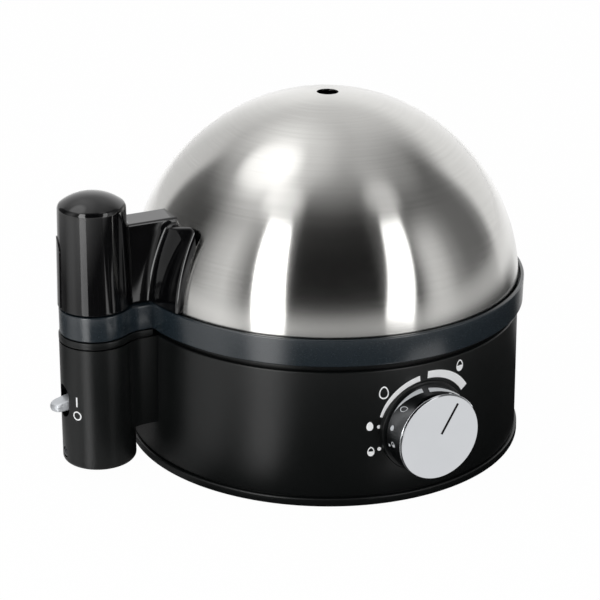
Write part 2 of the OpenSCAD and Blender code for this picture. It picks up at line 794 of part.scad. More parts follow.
module switch_lever() color("#b9bbbe")
    translate([pivot_x, 0, switch_z]) rotate([0, -lever_droop, 0]) difference() {
        union() {
            rod_y(hub_r, -lever_w / 2, lever_w / 2);
            block([lever_w / 2 - lever_len, -lever_w / 2, -lever_t / 2], [0, lever_w / 2, lever_t / 2]);
            rod_z(lever_w / 2, -lever_t / 2, lever_t / 2, lever_w / 2 - lever_len);
        }
        rod_y(pin_r + run_gap, -lever_w, lever_w);
    }

module lamp_lens() color("#9fb0b8") rod_x(lamp_r, lamp_x, lamp_back, 0, lamp_z);

module lamp_holder() color("#303236") block(
    [lamp_back, -lamp_block / 2, tower_floor], [lamp_holder_back, lamp_block / 2, lamp_holder_top]);

module heater_leads() color("#c9b79a") {
    wire([[leg_x, leg_y, pin_end], [leg_x, leg_y, terminal_top]]);
    wire([[-leg_x, leg_y, pin_end], [-leg_x, leg_y, relay_wire_z], [-leg_x, relay_back, relay_wire_z]]);
}
module switch_leads() color("#8a5a3a") wire([
    [switch_back, switch_wire_y, switch_wire_z], [switch_wire_x, switch_wire_y, switch_wire_z],
    [switch_wire_x, block_wire_y, block_wire_z], [terminal_x, block_wire_y, block_wire_z]]);
module lamp_lead() color("#3a5a8a") wire([
    [lamp_wire_x, 0, lamp_holder_top], [lamp_wire_x, 0, lamp_wire_z], [switch_front, 0, lamp_wire_z]]);
module control_leads() color("#7a2f2f") wire([
    [control_wire_x, terminal_y, control_wire_z], [control_wire_x, control_wire_y, control_wire_z],
    [control_wire_x, 0, buzzer_z], [control_wire_x, board_back, buzzer_z]]);

// Band, seat for the dome and egg plate as one turned section
module tray_body() rotate_extrude() polygon([
    [0, collar_z], [skirt_in, collar_z], [skirt_in, band_z], [band_r - band_edge, band_z],
    [band_r, band_z + band_edge], [band_r, band_top - band_edge], [band_r - band_edge, band_top],
    [lip_in, band_top], [lip_in, seat_z], [seat_in, seat_z], [seat_in, plate_top], [0, plate_top]]);
// Places the children at every egg hole
module egg_places() {
    children();
    ring_of(egg_count, egg_circle, egg_turn) children();
}

module egg_tray() color("#3a4048") difference() {
    union() {
        tray_body();
        difference() {
            translate([0, 0, loop_z]) linear_extrude(loop_top - loop_z)
                tower_plan(loop_r, neck_w / 2, lip_in);
            rod_z(band_r - lip_w / 2, loop_z - over, loop_top + over);
        }
        egg_places() rod_z(egg_d / 2 + egg_rim_t, plate_top - eps, plate_top + egg_rim_h);
    }
    rod_z(loop_r - loop_wall, loop_z + loop_wall, loop_top + over, -tower_x);
    egg_places() translate([0, 0, collar_z - eps])
        cylinder(r1 = egg_d / 2 - egg_taper, r2 = egg_d / 2, h = plate_t + egg_rim_h + 2 * eps);
    ring_of(2 * egg_count, steam_circle, egg_turn / 2)
        rod_z(steam_d / 2, collar_z - over, plate_top + over);
}

// Turns +Z to the direction of a dome screw, from the centre of the dome's sphere
module dome_axis(up) translate([0, 0, dome_z]) rotate([0, up - 90, 0]) children();

module lid_dome() color("#c3c4c6") difference() {
    translate([0, 0, dome_z]) sphere(r = dome_r);
    translate([0, 0, dome_z]) sphere(r = dome_r - dome_t);
    rod_z(dome_r + over, dome_z - dome_r - over, seat_z);
    rod_z(vent_d / 2, dome_z, dome_z + dome_r + over);
    for (up = dome_screw_up) dome_axis(up)
        rod_z(dome_screw_r + fix_gap, dome_r - dome_t - over, dome_r + over);
}

// Upper tower with its domed top
module handle_tower() {
    cap_r = (pow(handle_top_r, 2) + pow(handle_cap, 2)) / (2 * handle_cap);
    cap_c = handle_shoulder + handle_cap - cap_r;
    at_tower() rotate_extrude() polygon(concat(
        [[0, handle_z], [handle_r, handle_z]],
        arc(0, cap_c, cap_r, asin((handle_shoulder - cap_c) / cap_r), 90, 12)));
}
module handle_hollow() at_tower() rotate_extrude() polygon([
    [0, handle_z - over], [handle_in, handle_z - over], [handle_in, handle_z],
    [handle_top_r - handle_wall, handle_shoulder - over],
    [0, handle_shoulder + handle_cap - 2 * handle_wall]]);
// Pad that follows the dome, before the dome is cut out of it
module handle_pad() intersection() {
    translate([0, 0, dome_z]) sphere(r = dome_r + fix_gap + pad_t);
    translate([-tower_x, 0, 0]) rotate([90, 0, 90]) linear_extrude(tower_x - dome_r / 2)
        polygon(concat(
            [[-pad_w / 2, handle_z], [pad_w / 2, handle_z]],
            arc(pad_top_w / 2 - pad_corner, arm_top - pad_drop - pad_corner, pad_corner, 0, 90, 8),
            [[arm_w / 2, arm_top - pad_dip], [-arm_w / 2, arm_top - pad_dip]],
            arc(pad_corner - pad_top_w / 2, arm_top - pad_corner, pad_corner, 90, 180, 8)));
}
// Arch that outlines the inlay, as a bar through the tower's side
module inlay_arch(gap) at_tower() rotate([0, 0, -inlay_turn]) {
    half = inlay_w / 2 + gap;
    block([-2 * handle_r, -half, inlay_z - gap], [-handle_in / 2, half, inlay_arch_z]);
    rod_x(half, -2 * handle_r, -handle_in / 2, 0, inlay_arch_z);
}
// Conical shell along the tower's side, from depth below its surface to proud above it
module handle_skin(depth, proud) at_tower() rotate_extrude() polygon([
    [handle_r - depth, handle_z], [handle_r + proud, handle_z],
    [handle_top_r + proud, handle_shoulder], [handle_top_r - depth, handle_shoulder]]);

module lid_handle() color("#0c0c0d") difference() {
    union() {
        handle_tower();
        block([-tower_x, -arm_w / 2, handle_z], [-dome_r / 2, arm_w / 2, arm_top]);
        handle_pad();
    }
    handle_hollow();
    translate([0, 0, dome_z]) sphere(r = dome_r + fix_gap);
    intersection() {
        inlay_arch(fix_gap);
        handle_skin(inlay_depth + fix_gap, over);
    }
    for (up = dome_screw_up) dome_axis(up)
        rod_z(dome_screw_r + fix_gap, dome_r - over, dome_r + dome_screw_len + over);
}

module handle_base() color("#141415") {
    rod_z(handle_in - 2 * fix_gap, handle_z + lift_gap, handle_z + lift_gap + handle_wall, -tower_x);
    rod_z(spigot_r, loop_top - spigot_h, handle_z + lift_gap + eps, -tower_x);
}

module handle_inlay() color("#101011") intersection() {
    inlay_arch(0);
    handle_skin(inlay_depth, inlay_proud);
}

module handle_screws() color("silver") for (up = dome_screw_up) dome_axis(up) {
    rod_z(dome_head_r, dome_head_top - dome_head_t, dome_head_top);
    rod_z(dome_screw_r, dome_head_top - eps, dome_head_top + dome_screw_len);
}

module knob() color("#d5d7da") difference() {
    translate([0, 0, knob_z]) rotate([90, 0, 0]) rotate_extrude() polygon([
        [0, knob_face], [knob_r - knob_bevel, knob_face], [knob_r, knob_face - knob_bevel],
        [knob_r, knob_back], [knob_in, knob_back], [knob_in, knob_face - knob_wall],
        [0, knob_face - knob_wall]]);
    pointer_bar(fix_gap / 2, over);
}
// Bar of the pointer line, let into the knob's face
module pointer_bar(gap, out) translate([0, -knob_face, knob_z]) rotate([0, pointer_turn, 0]) block(
    [-pointer_w / 2 - gap, -out, pointer_in - gap],
    [pointer_w / 2 + gap, pointer_d, pointer_in + pointer_l + gap]);
module knob_pointer() color("#0a0a0a") pointer_bar(0, 0);

module knob_hub() color("#2c2d30") difference() {
    rod_y(knob_in - fix_gap, -hub_face, -hub_back, 0, knob_z);
    rod_y(shaft_r + press_gap, -hub_face - over, -hub_back + over, 0, knob_z);
}

module control_shaft() color("#b4b6b9")
    rod_y(shaft_r, -hub_face, board_front - pot_back - lift_gap, 0, knob_z);

base_housing();
tower_cap();
bottom_cover();
rubber_feet();
cover_screws();
heating_dish();
dish_seal();
heating_element();
element_bushings();
dish_studs();
heat_shield();
shield_nuts();
thermostat();
thermostat_holder();
thermal_fuse();
fuse_clip();
control_board();
relay();
buzzer();
potentiometer();
control_nut();
terminal_block();
cord_gland();
gland_nut();
switch_body();
switch_pin();
lamp_lens();
lamp_holder();
heater_leads();
switch_leads();
lamp_lead();
control_leads();
egg_tray();
lid_dome();
lid_handle();
handle_base();
handle_inlay();
handle_screws();
knob();
knob_hub();
knob_pointer();
control_shaft();
switch_lever();
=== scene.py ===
import json
import math

import bmesh
import bpy
import numpy as np
from mathutils import Matrix, Vector


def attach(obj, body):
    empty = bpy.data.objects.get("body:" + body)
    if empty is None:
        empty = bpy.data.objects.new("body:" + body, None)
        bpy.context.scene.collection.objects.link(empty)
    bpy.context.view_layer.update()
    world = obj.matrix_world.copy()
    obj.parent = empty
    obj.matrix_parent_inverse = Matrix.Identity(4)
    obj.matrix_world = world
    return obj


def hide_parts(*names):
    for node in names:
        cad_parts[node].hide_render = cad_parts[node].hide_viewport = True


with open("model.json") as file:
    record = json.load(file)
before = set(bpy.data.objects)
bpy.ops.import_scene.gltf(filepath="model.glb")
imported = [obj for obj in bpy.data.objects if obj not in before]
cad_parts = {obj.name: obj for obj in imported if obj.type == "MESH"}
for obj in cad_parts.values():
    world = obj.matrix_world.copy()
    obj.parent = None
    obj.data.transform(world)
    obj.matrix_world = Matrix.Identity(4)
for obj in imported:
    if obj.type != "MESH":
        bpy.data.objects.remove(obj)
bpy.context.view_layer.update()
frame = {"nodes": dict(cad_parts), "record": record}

scene = bpy.context.scene
scene.view_settings.view_transform = "Standard"
mm = 0.001
print("frame:", len(frame["nodes"]), "nodes")


def newObject(name, data):
    obj = bpy.data.objects.new(name, data)
    scene.collection.objects.link(obj)
    return obj


def faceTo(obj, target, rollDeg):  # a camera or lamp looks at a point
    facing = (Vector(target) - obj.location).to_track_quat("-Z", "Y").to_matrix()
    obj.rotation_euler = (facing @ Matrix.Rotation(math.radians(rollDeg), 3, "Z")).to_euler()


# camera at the photograph's angle: a long lens on a square frame
photoCamera = dict(place=(-0.3796, -0.6856, 0.37295), aim=(-0.01007, 0.00538, 0.06051), lens=108, sensor=36,
                   rollDeg=0.58)
camera = newObject("photoCamera", bpy.data.cameras.new("photoCamera"))
camera.data.sensor_width = photoCamera["sensor"]
camera.data.lens = photoCamera["lens"]
camera.location = photoCamera["place"]
faceTo(camera, photoCamera["aim"], photoCamera["rollDeg"])
scene.camera = camera


def linear(hexText):  # sRGB hex to linear colour
    parts = [int(hexText[i:i + 2], 16) / 255 for i in (1, 3, 5)]
    return [c / 12.92 if c <= 0.04045 else ((c + 0.055) / 1.055) ** 2.4 for c in parts] + [1.0]


def addNode(tree, kind, inputs=None, **settings):  # an input is a value, a socket, or a node's first output
    node = tree.nodes.new(kind)
    for key, value in settings.items():
        setattr(node, key, value)
    for key, value in (inputs or {}).items():
        socket = node.inputs[key]
        for source in value if socket.is_multi_input else [value]:
            if isinstance(source, bpy.types.Node):
                source = next(s for s in source.outputs if s.enabled)
            if isinstance(source, bpy.types.NodeSocket):
                tree.links.new(source, socket)
            else:
                socket.default_value = source
    return node


def perMetre(sizeMm):  # pattern scale for a feature of this size
    return 1000 / sizeMm


def bareTree(owner):  # the node tree of a material or world, emptied
    owner.use_nodes = True
    owner.node_tree.nodes.clear()
    return owner.node_tree


def newSurface(name):
    mat = bpy.data.materials.new(name)
    tree = bareTree(mat)
    return mat, tree, addNode(tree, "ShaderNodeTexCoord").outputs["Object"]


def finishSurface(tree, tones, tint, relief, span, rough, bumpMm, shader):  # relief gives gloss and height
    dark, pale = [linear(tone) for tone in tones]
    tone = addNode(tree, "ShaderNodeMix", {0: tint, 6: dark, 7: pale}, data_type="RGBA")
    gloss = addNode(tree, "ShaderNodeMapRange", {
        "Value": relief, "From Min": span[0], "From Max": span[1], "To Min": rough[0], "To Max": rough[1]})
    bump = addNode(tree, "ShaderNodeBump", {"Height": relief, "Strength": 1.0, "Distance": bumpMm * mm})
    bsdf = addNode(tree, "ShaderNodeBsdfPrincipled", {
        **shader, "Base Color": tone, "Roughness": gloss, "Normal": bump})
    addNode(tree, "ShaderNodeOutputMaterial", {"Surface": bsdf})


def grained(name, tones, grainMm, patchMm, rough, bumpMm, specular=0.5, metallic=0.0):
    mat, tree, coords = newSurface(name)  # a fine grain in gloss and height, slow patches in tone
    grain, patch = [addNode(tree, "ShaderNodeTexNoise", {
        "Vector": coords, "Scale": perMetre(size), "Detail": detail})
        for size, detail in ((grainMm, 3.0), (patchMm, 2.0))]
    finishSurface(tree, tones, patch, grain, (0.3, 0.7), rough, bumpMm,
                  {"Specular IOR Level": specular, "Metallic": metallic})
    return mat


# materials: what each is made of, and what that gives the eye
# real grain is mostly finer than 0.3 mm, and is drawn at 0.4 to 0.9 mm so that it shows
# spark-eroded mould: a dry black with a fine tooth
mattBlack = grained("absMouldedFineTexture", ("#080a0a", "#0c0e0e"), grainMm=0.7, patchMm=60,
                    rough=(0.28, 0.38), bumpMm=0.012, specular=0.4)
# polished mould: mirror-like with a faint orange peel
glossBlack = grained("absPolishedBlack", ("#050506", "#080809"), grainMm=9, patchMm=50,
                     rough=(0.05, 0.08), bumpMm=0.004, specular=0.6)
# heat-proof moulding: satin, a cool dark grey
slateSatin = grained("polypropyleneSatinSlate", ("#171f25", "#1d262c"), grainMm=0.6, patchMm=50,
                     rough=(0.2, 0.28), bumpMm=0.006, specular=0.85)
# plain mould for parts out of sight: an even, duller black
floorBlack = grained("absMouldedPlainBlack", ("#121314", "#161718"), grainMm=0.8, patchMm=50,
                     rough=(0.38, 0.5), bumpMm=0.008)
# plating over a polished mould: a clear mirror with slow waves
chromeSide = grained("absChromePlatedMirror", ("#c8cacd", "#d0d2d5"), grainMm=6, patchMm=20,
                     rough=(0.03, 0.06), bumpMm=0.002, metallic=1.0)
# plating over a finely blasted mould gives blurred reflections; the tone is painted lighter than the mirror
# sides' as painted brightness on the face
chromeFace = grained("absChromePlatedSatin", ("#dcdddf", "#e4e5e7"), grainMm=0.8, patchMm=20,
                     rough=(0.1, 0.16), bumpMm=0.002, metallic=1.0)
# sprayed metal flake: a soft silver shine
silverLever = grained("absPaintedSilver", ("#c4c7cb", "#d2d5d8"), grainMm=0.4, patchMm=8,
                      rough=(0.34, 0.44), bumpMm=0.003, metallic=0.7)
# ink through a mesh: flat white, hardly any shine
inkWhite = grained("screenPrintedWhite", ("#e6e7e8", "#f2f3f3"), grainMm=0.5, patchMm=6,
                   rough=(0.5, 0.62), bumpMm=0.003, specular=0.3)
# paint wiped into a groove: a dull deep black
pointerBlack = grained("paintFilledBlack", ("#040404", "#080808"), grainMm=0.5, patchMm=5,
                       rough=(0.6, 0.75), bumpMm=0.004, specular=0.15)
# tinted clear moulding: dark and glassy
smokedLens = grained("polycarbonateSmoked", ("#1c1f22", "#26292d"), grainMm=2, patchMm=4,
                     rough=(0.05, 0.1), bumpMm=0.002, specular=0.6)
# pressed sheet, dulled by boiling water: a broken grey shine
dishSteel = grained("stainlessPressedDish", ("#8f9092", "#a7a8aa"), grainMm=0.9, patchMm=25,
                    rough=(0.3, 0.45), bumpMm=0.006, metallic=1.0)
# barrel plating: a pale metal with small uneven glints
zincSteel = grained("steelZincPlated", ("#a9abad", "#bfc0c2"), grainMm=0.5, patchMm=6,
                    rough=(0.26, 0.4), bumpMm=0.004, metallic=1.0)
# mill-finished sheet: light and soft
sheetAluminium = grained("aluminiumPressedSheet", ("#b5b7b9", "#c9cbcc"), grainMm=0.8, patchMm=30,
                         rough=(0.3, 0.45), bumpMm=0.005, metallic=1.0)
# drawn tube, stained brown to straw by heat: dull metal in patches
elementSheath = grained("steelSheathHeatStained", ("#5a4a3e", "#7d766d"), grainMm=0.8, patchMm=12,
                        rough=(0.45, 0.6), bumpMm=0.01, metallic=0.8)
# blasted mould: a dusty dark grey with no shine
blackRubber = grained("rubberMouldedBlack", ("#202020", "#282828"), grainMm=0.6, patchMm=10,
                      rough=(0.7, 0.85), bumpMm=0.015, specular=0.3)
# moulded seal: brick red with a faint sheen
redSilicone = grained("siliconeMouldedRed", ("#6f2a1e", "#803225"), grainMm=0.8, patchMm=20,
                      rough=(0.5, 0.65), bumpMm=0.01, specular=0.4)
# pressed and fired without glaze: a chalky cream
steatite = grained("ceramicSteatitePressed", ("#d9d3c4", "#e8e3d7"), grainMm=0.5, patchMm=8,
                   rough=(0.5, 0.65), bumpMm=0.01)
# lacquer over woven glass: green with a half gloss
boardGreen = grained("glassEpoxySolderMask", ("#235a2e", "#2f6b3a"), grainMm=0.6, patchMm=7,
                     rough=(0.3, 0.42), bumpMm=0.01)
# moulded case: an even blue with a half gloss
relayBlue = grained("polyesterCaseBlue", ("#1f3f63", "#28507b"), grainMm=0.7, patchMm=9,
                    rough=(0.3, 0.4), bumpMm=0.006)
# moulded block: milky white, slightly waxy
terminalWhite = grained("nylonMouldedWhite", ("#dedcd3", "#ebe9e2"), grainMm=0.7, patchMm=9,
                        rough=(0.4, 0.52), bumpMm=0.008)
# extruded tube: a soft brown without clear reflections
wireSleeve = grained("siliconeWireSleeve", ("#7e5138", "#976448"), grainMm=0.5, patchMm=12,
                     rough=(0.5, 0.62), bumpMm=0.008)

# stainless sheet brushed on the lathe: light runs in soft bands up the dome, broken by fine level lines
# the lines run round the axis, so the pattern follows height; real ones are 0.2 mm apart, drawn at 0.9
brushing = dict(tones=("#c3c2bf", "#cfcecb"), centreMm=71.5, radiusMm=89.8, lineMm=0.9, sweep=0.8,
                rough=(0.14, 0.16), bumpMm=0.0012)
brushedSteel, tree, coords = newSurface("stainlessBrushedRound")
parts = addNode(tree, "ShaderNodeSeparateXYZ", {0: coords}).outputs
flat = addNode(tree, "ShaderNodeCombineXYZ", {"X": parts["X"], "Y": parts["Y"]})
radius = addNode(tree, "ShaderNodeVectorMath", {0: flat}, operation="LENGTH")
lift = addNode(tree, "ShaderNodeMath", {0: parts["Z"], 1: brushing["centreMm"] * mm}, operation="SUBTRACT")
climb = addNode(tree, "ShaderNodeMath", {0: lift, 1: radius}, operation="ARCTAN2")
along = addNode(tree, "ShaderNodeMath", {0: climb, 1: brushing["radiusMm"] / brushing["lineMm"]},
                operation="MULTIPLY")
upright = addNode(tree, "ShaderNodeCombineXYZ", {"Z": along})
heading = addNode(tree, "ShaderNodeVectorMath", {0: flat}, operation="NORMALIZE")
place = addNode(tree, "ShaderNodeVectorMath", {0: heading, 1: (brushing["sweep"],) * 3, 2: upright},
                operation="MULTIPLY_ADD")
lines = addNode(tree, "ShaderNodeTexNoise", {"Vector": place, "Scale": 1.0, "Detail": 2.0, "Roughness": 0.6})
wound = addNode(tree, "ShaderNodeTangent", direction_type="RADIAL", axis="Z")
finishSurface(tree, brushing["tones"], lines, lines, (0.25, 0.75), brushing["rough"], brushing["bumpMm"], {
    "Metallic": 1.0, "Anisotropic": 0.92, "Anisotropic Rotation": 0.25, "Tangent": wound})

nodeDress = {
    mattBlack: ["base_housing", "tower_cap"],
    floorBlack: ["bottom_cover", "handle_base", "cord_gland", "gland_nut", "buzzer", "switch_body",
                 "lamp_holder", "knob_hub"],
    zincSteel: ["cover_screws", "dish_studs", "shield_nuts", "control_nut", "handle_screws", "switch_pin",
                "control_shaft", "thermostat_holder", "fuse_clip", "potentiometer"],
    steatite: ["element_bushings", "thermal_fuse", "thermostat"],
    wireSleeve: ["heater_leads", "switch_leads", "lamp_lead", "control_leads"],
    blackRubber: ["rubber_feet"], redSilicone: ["dish_seal"], elementSheath: ["heating_element"],
    dishSteel: ["heating_dish"], sheetAluminium: ["heat_shield"], boardGreen: ["control_board"],
    relayBlue: ["relay"], terminalWhite: ["terminal_block"], smokedLens: ["lamp_lens"],
    slateSatin: ["egg_tray"], brushedSteel: ["lid_dome"], glossBlack: ["lid_handle", "handle_inlay"],
    chromeSide: ["knob"], pointerBlack: ["knob_pointer"], silverLever: ["switch_lever"]}
dressOf = {node: mat for mat, nodes in nodeDress.items() for node in nodes}
for node, obj in frame["nodes"].items():
    obj.data.materials.clear()
    obj.data.materials.append(dressOf[node])
print("materials:", len(nodeDress), "on nodes")


def meshOf(name, bm, mat):
    mesh = bpy.data.meshes.new(name)
    bm.to_mesh(mesh)
    bm.free()
    mesh.materials.append(mat)
    return mesh


def plainMesh(obj):  # modifiers become a plain mesh
    graph = bpy.context.evaluated_depsgraph_get()
    mesh = bpy.data.meshes.new_from_object(obj.evaluated_get(graph), depsgraph=graph)
    obj.modifiers.clear()
    worn = obj.data
    obj.data = mesh
    bpy.data.meshes.remove(worn)
    return obj


def outwards(obj, sharpDeg=35):  # closed shells face out, and only real edges stay sharp
    bm = bmesh.new()
    bm.from_mesh(obj.data)
    bmesh.ops.remove_doubles(bm, verts=bm.verts, dist=1e-7)
    bmesh.ops.recalc_face_normals(bm, faces=bm.faces)
    bm.to_mesh(obj.data)
    bm.free()
    obj.data.shade_smooth()
    obj.data.set_sharp_from_angle(angle=math.radians(sharpDeg))
    return obj


def join(name, pieces, mat):  # several shells as one piece
    bm = bmesh.new()
    for piece in pieces:
        bm.from_mesh(piece.data)
        bpy.data.objects.remove(piece)
    return outwards(newObject(name, meshOf(name, bm, mat)))


def settle(obj, node):  # the piece stands for a node and rides on its body
    body = next(b for b, nodes in frame["record"]["behaviour"]["bodies"].items() if node in nodes)
    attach(obj, body)
    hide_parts(node)


def newTree(name, inputs):
    tree = bpy.data.node_groups.new(name, "GeometryNodeTree")
    for label, kind in [("Geometry", "Geometry"), *inputs, ("Material", "Material")]:
        tree.interface.new_socket(label, in_out="INPUT", socket_type="NodeSocket" + kind)
    tree.interface.new_socket("Geometry", in_out="OUTPUT", socket_type="NodeSocketGeometry")
    return tree, addNode(tree, "NodeGroupInput").outputs


def closeTree(tree, geometry, given):
    real = addNode(tree, "GeometryNodeRealizeInstances", {"Geometry": geometry})
    dressed = addNode(tree, "GeometryNodeSetMaterial", {"Geometry": real, "Material": given["Material"]})
    addNode(tree, "NodeGroupOutput", {"Geometry": dressed})
    return tree


def runTree(name, tree, mesh, values):
    obj = newObject(name, mesh)
    modifier = obj.modifiers.new(tree.name, "NODES")
    modifier.node_group = tree
    sockets = {s.name: s.identifier for s in tree.interface.items_tree if s.in_out == "INPUT"}
    for label, value in values.items():
        modifier[sockets[label]] = value
    return plainMesh(obj)


# tree: a profile in the XZ plane is turned round the Z axis
tree, given = newTree("turnedShell", [("Segments", "Int")])
count = addNode(tree, "GeometryNodeAttributeDomainSize", {"Geometry": given["Geometry"]}, component="MESH")
stops = addNode(tree, "FunctionNodeIntegerMath", {0: given["Segments"], 1: 1}, operation="ADD")
sheet = addNode(tree, "GeometryNodeMeshGrid", {"Vertices X": stops, "Vertices Y": count})
index = addNode(tree, "GeometryNodeInputIndex")
row = addNode(tree, "FunctionNodeIntegerMath", {0: index, 1: count}, operation="MODULO")
stop = addNode(tree, "FunctionNodeIntegerMath", {0: index, 1: count}, operation="DIVIDE_FLOOR")
share = addNode(tree, "ShaderNodeMath", {0: stop, 1: given["Segments"]}, operation="DIVIDE")
swing = addNode(tree, "ShaderNodeMath", {0: share, 1: 2 * math.pi}, operation="MULTIPLY")
spot = addNode(tree, "GeometryNodeInputPosition")
corner = addNode(tree, "GeometryNodeSampleIndex", {
    "Geometry": given["Geometry"], "Value": spot, "Index": row}, data_type="FLOAT_VECTOR", domain="POINT")
swung = addNode(tree, "ShaderNodeVectorRotate", {"Vector": corner, "Angle": swing}, rotation_type="Z_AXIS")
moved = addNode(tree, "GeometryNodeSetPosition", {"Geometry": sheet, "Position": swung})
sealed = addNode(tree, "GeometryNodeMergeByDistance", {"Geometry": moved, "Distance": 1e-6})
turnedTree = closeTree(tree, sealed, given)

# tree: copies of one piece on a circle
tree, given = newTree("ringOfPieces", [("Count", "Int"), ("Radius", "Float"), ("Turn", "Float")])
circle = addNode(tree, "GeometryNodeMeshCircle", {"Vertices": given["Count"], "Radius": given["Radius"]})
heading = addNode(tree, "ShaderNodeCombineXYZ", {"Z": given["Turn"]})
turned = addNode(tree, "GeometryNodeTransform", {"Geometry": circle, "Rotation": heading})
copies = addNode(tree, "GeometryNodeInstanceOnPoints", {"Points": turned, "Instance": given["Geometry"]})
ringTree = closeTree(tree, copies, given)

# tree: flat marks in the XZ plane are laid round a cone, their thickness along its radius
tree, given = newTree("marksRoundCone", [("Radius", "Float"), ("Height", "Float"), ("Slope", "Float")])
spot = addNode(tree, "GeometryNodeInputPosition")
parts = addNode(tree, "ShaderNodeSeparateXYZ", {0: spot}).outputs
below = addNode(tree, "ShaderNodeMath", {0: given["Height"], 1: parts["Z"]}, operation="SUBTRACT")
wall = addNode(tree, "ShaderNodeMath", {0: below, 1: given["Slope"], 2: given["Radius"]},
               operation="MULTIPLY_ADD")
bend = addNode(tree, "ShaderNodeMath", {0: parts["X"], 1: wall}, operation="DIVIDE")
front = addNode(tree, "ShaderNodeMath", {0: parts["Y"], 1: wall}, operation="SUBTRACT")
ahead = addNode(tree, "ShaderNodeCombineXYZ", {"Y": front, "Z": parts["Z"]})
laid = addNode(tree, "ShaderNodeVectorRotate", {"Vector": ahead, "Angle": bend}, rotation_type="Z_AXIS")
wrapped = addNode(tree, "GeometryNodeSetPosition", {"Geometry": given["Geometry"], "Position": laid})
wrapTree = closeTree(tree, wrapped, given)


def bentArc(cx, cz, radius, fromDeg, toDeg, steps):  # points along an arc
    turns = [math.radians(fromDeg + (toDeg - fromDeg) * k / steps) for k in range(steps + 1)]
    return [Vector((cx + radius * math.cos(t), cz + radius * math.sin(t))) for t in turns]


def roundedLoop(corners, steps=6, most=0.48):  # closed profile, each corner (r, z, radius) in mm
    loop = []
    for i, (r, z, radius) in enumerate(corners):
        here = Vector((r, z))
        if not radius:
            loop.append(here)
            continue
        back = Vector(corners[i - 1][:2]) - here
        on = Vector(corners[(i + 1) % len(corners)][:2]) - here
        a, b = back.normalized(), on.normalized()
        half = a.angle(b) / 2
        cut = min(radius / math.tan(half), most * back.length, most * on.length)
        centre = here + (a + b).normalized() * (cut / math.cos(half))
        first, last = here + a * cut - centre, here + b * cut - centre
        start = math.degrees(math.atan2(first.y, first.x))
        sweep = (math.degrees(math.atan2(last.y, last.x)) - start + 180) % 360 - 180
        loop += bentArc(centre.x, centre.y, first.length, start, start + sweep, steps)
    return loop + loop[:1]


def profile(sizes, corners, steps=6):  # each corner names its radius, height and rounding among the sizes
    known = {"zero": 0, **sizes}
    named = [[known[key] for key in corner.split()] + [0] for corner in corners.split(", ")]
    return roundedLoop([corner[:3] for corner in named], steps)


def placed(x, y, z, turnDeg=0, axis="X"):  # a turn, then a place in mm
    return Matrix.Translation(Vector((x, y, z)) * mm) @ Matrix.Rotation(math.radians(turnDeg), 4, axis)


def turnedPiece(name, loop, segments, mat, place=None, sharpDeg=35):  # loop of (r, z) in mm round +Z
    mesh = bpy.data.meshes.new(name)
    mesh.from_pydata([(r * mm, 0, z * mm) for r, z in loop], [], [])
    obj = outwards(runTree(name, turnedTree, mesh, {"Segments": segments, "Material": mat}), sharpDeg)
    if place:
        obj.data.transform(place)
    return obj


def stackedRings(name, rings, mat):  # rings of equal length, (points, z) in mm, capped at both ends
    bm = bmesh.new()
    rows = [[bm.verts.new((p[0] * mm, p[1] * mm, z * mm)) for p in plan] for plan, z in rings]
    for low, high in zip(rows, rows[1:]):
        for i in range(len(low)):
            j = (i + 1) % len(low)
            bm.faces.new((low[i], low[j], high[j], high[i]))
    bm.faces.new(list(reversed(rows[0])))
    bm.faces.new(rows[-1])
    return outwards(newObject(name, meshOf(name, bm, mat)))


def prism(name, plan, low, high, mat):  # a plan with upright walls
    return stackedRings(name, [(plan, low), (plan, high)], mat)


def box(name, low, high, mat):
    plan = [(low[0], low[1]), (high[0], low[1]), (high[0], high[1]), (low[0], high[1])]
    return prism(name, plan, low[2], high[2], mat)


def cutAway(obj, cutters):  # boolean difference with plain meshes
    for cutter in cutters:
        modifier = obj.modifiers.new("cut", "BOOLEAN")
        modifier.operation = "DIFFERENCE"
        modifier.solver = "EXACT"
        modifier.object = cutter
    plainMesh(obj)
    for cutter in cutters:
        bpy.data.objects.remove(cutter)
    return outwards(obj)


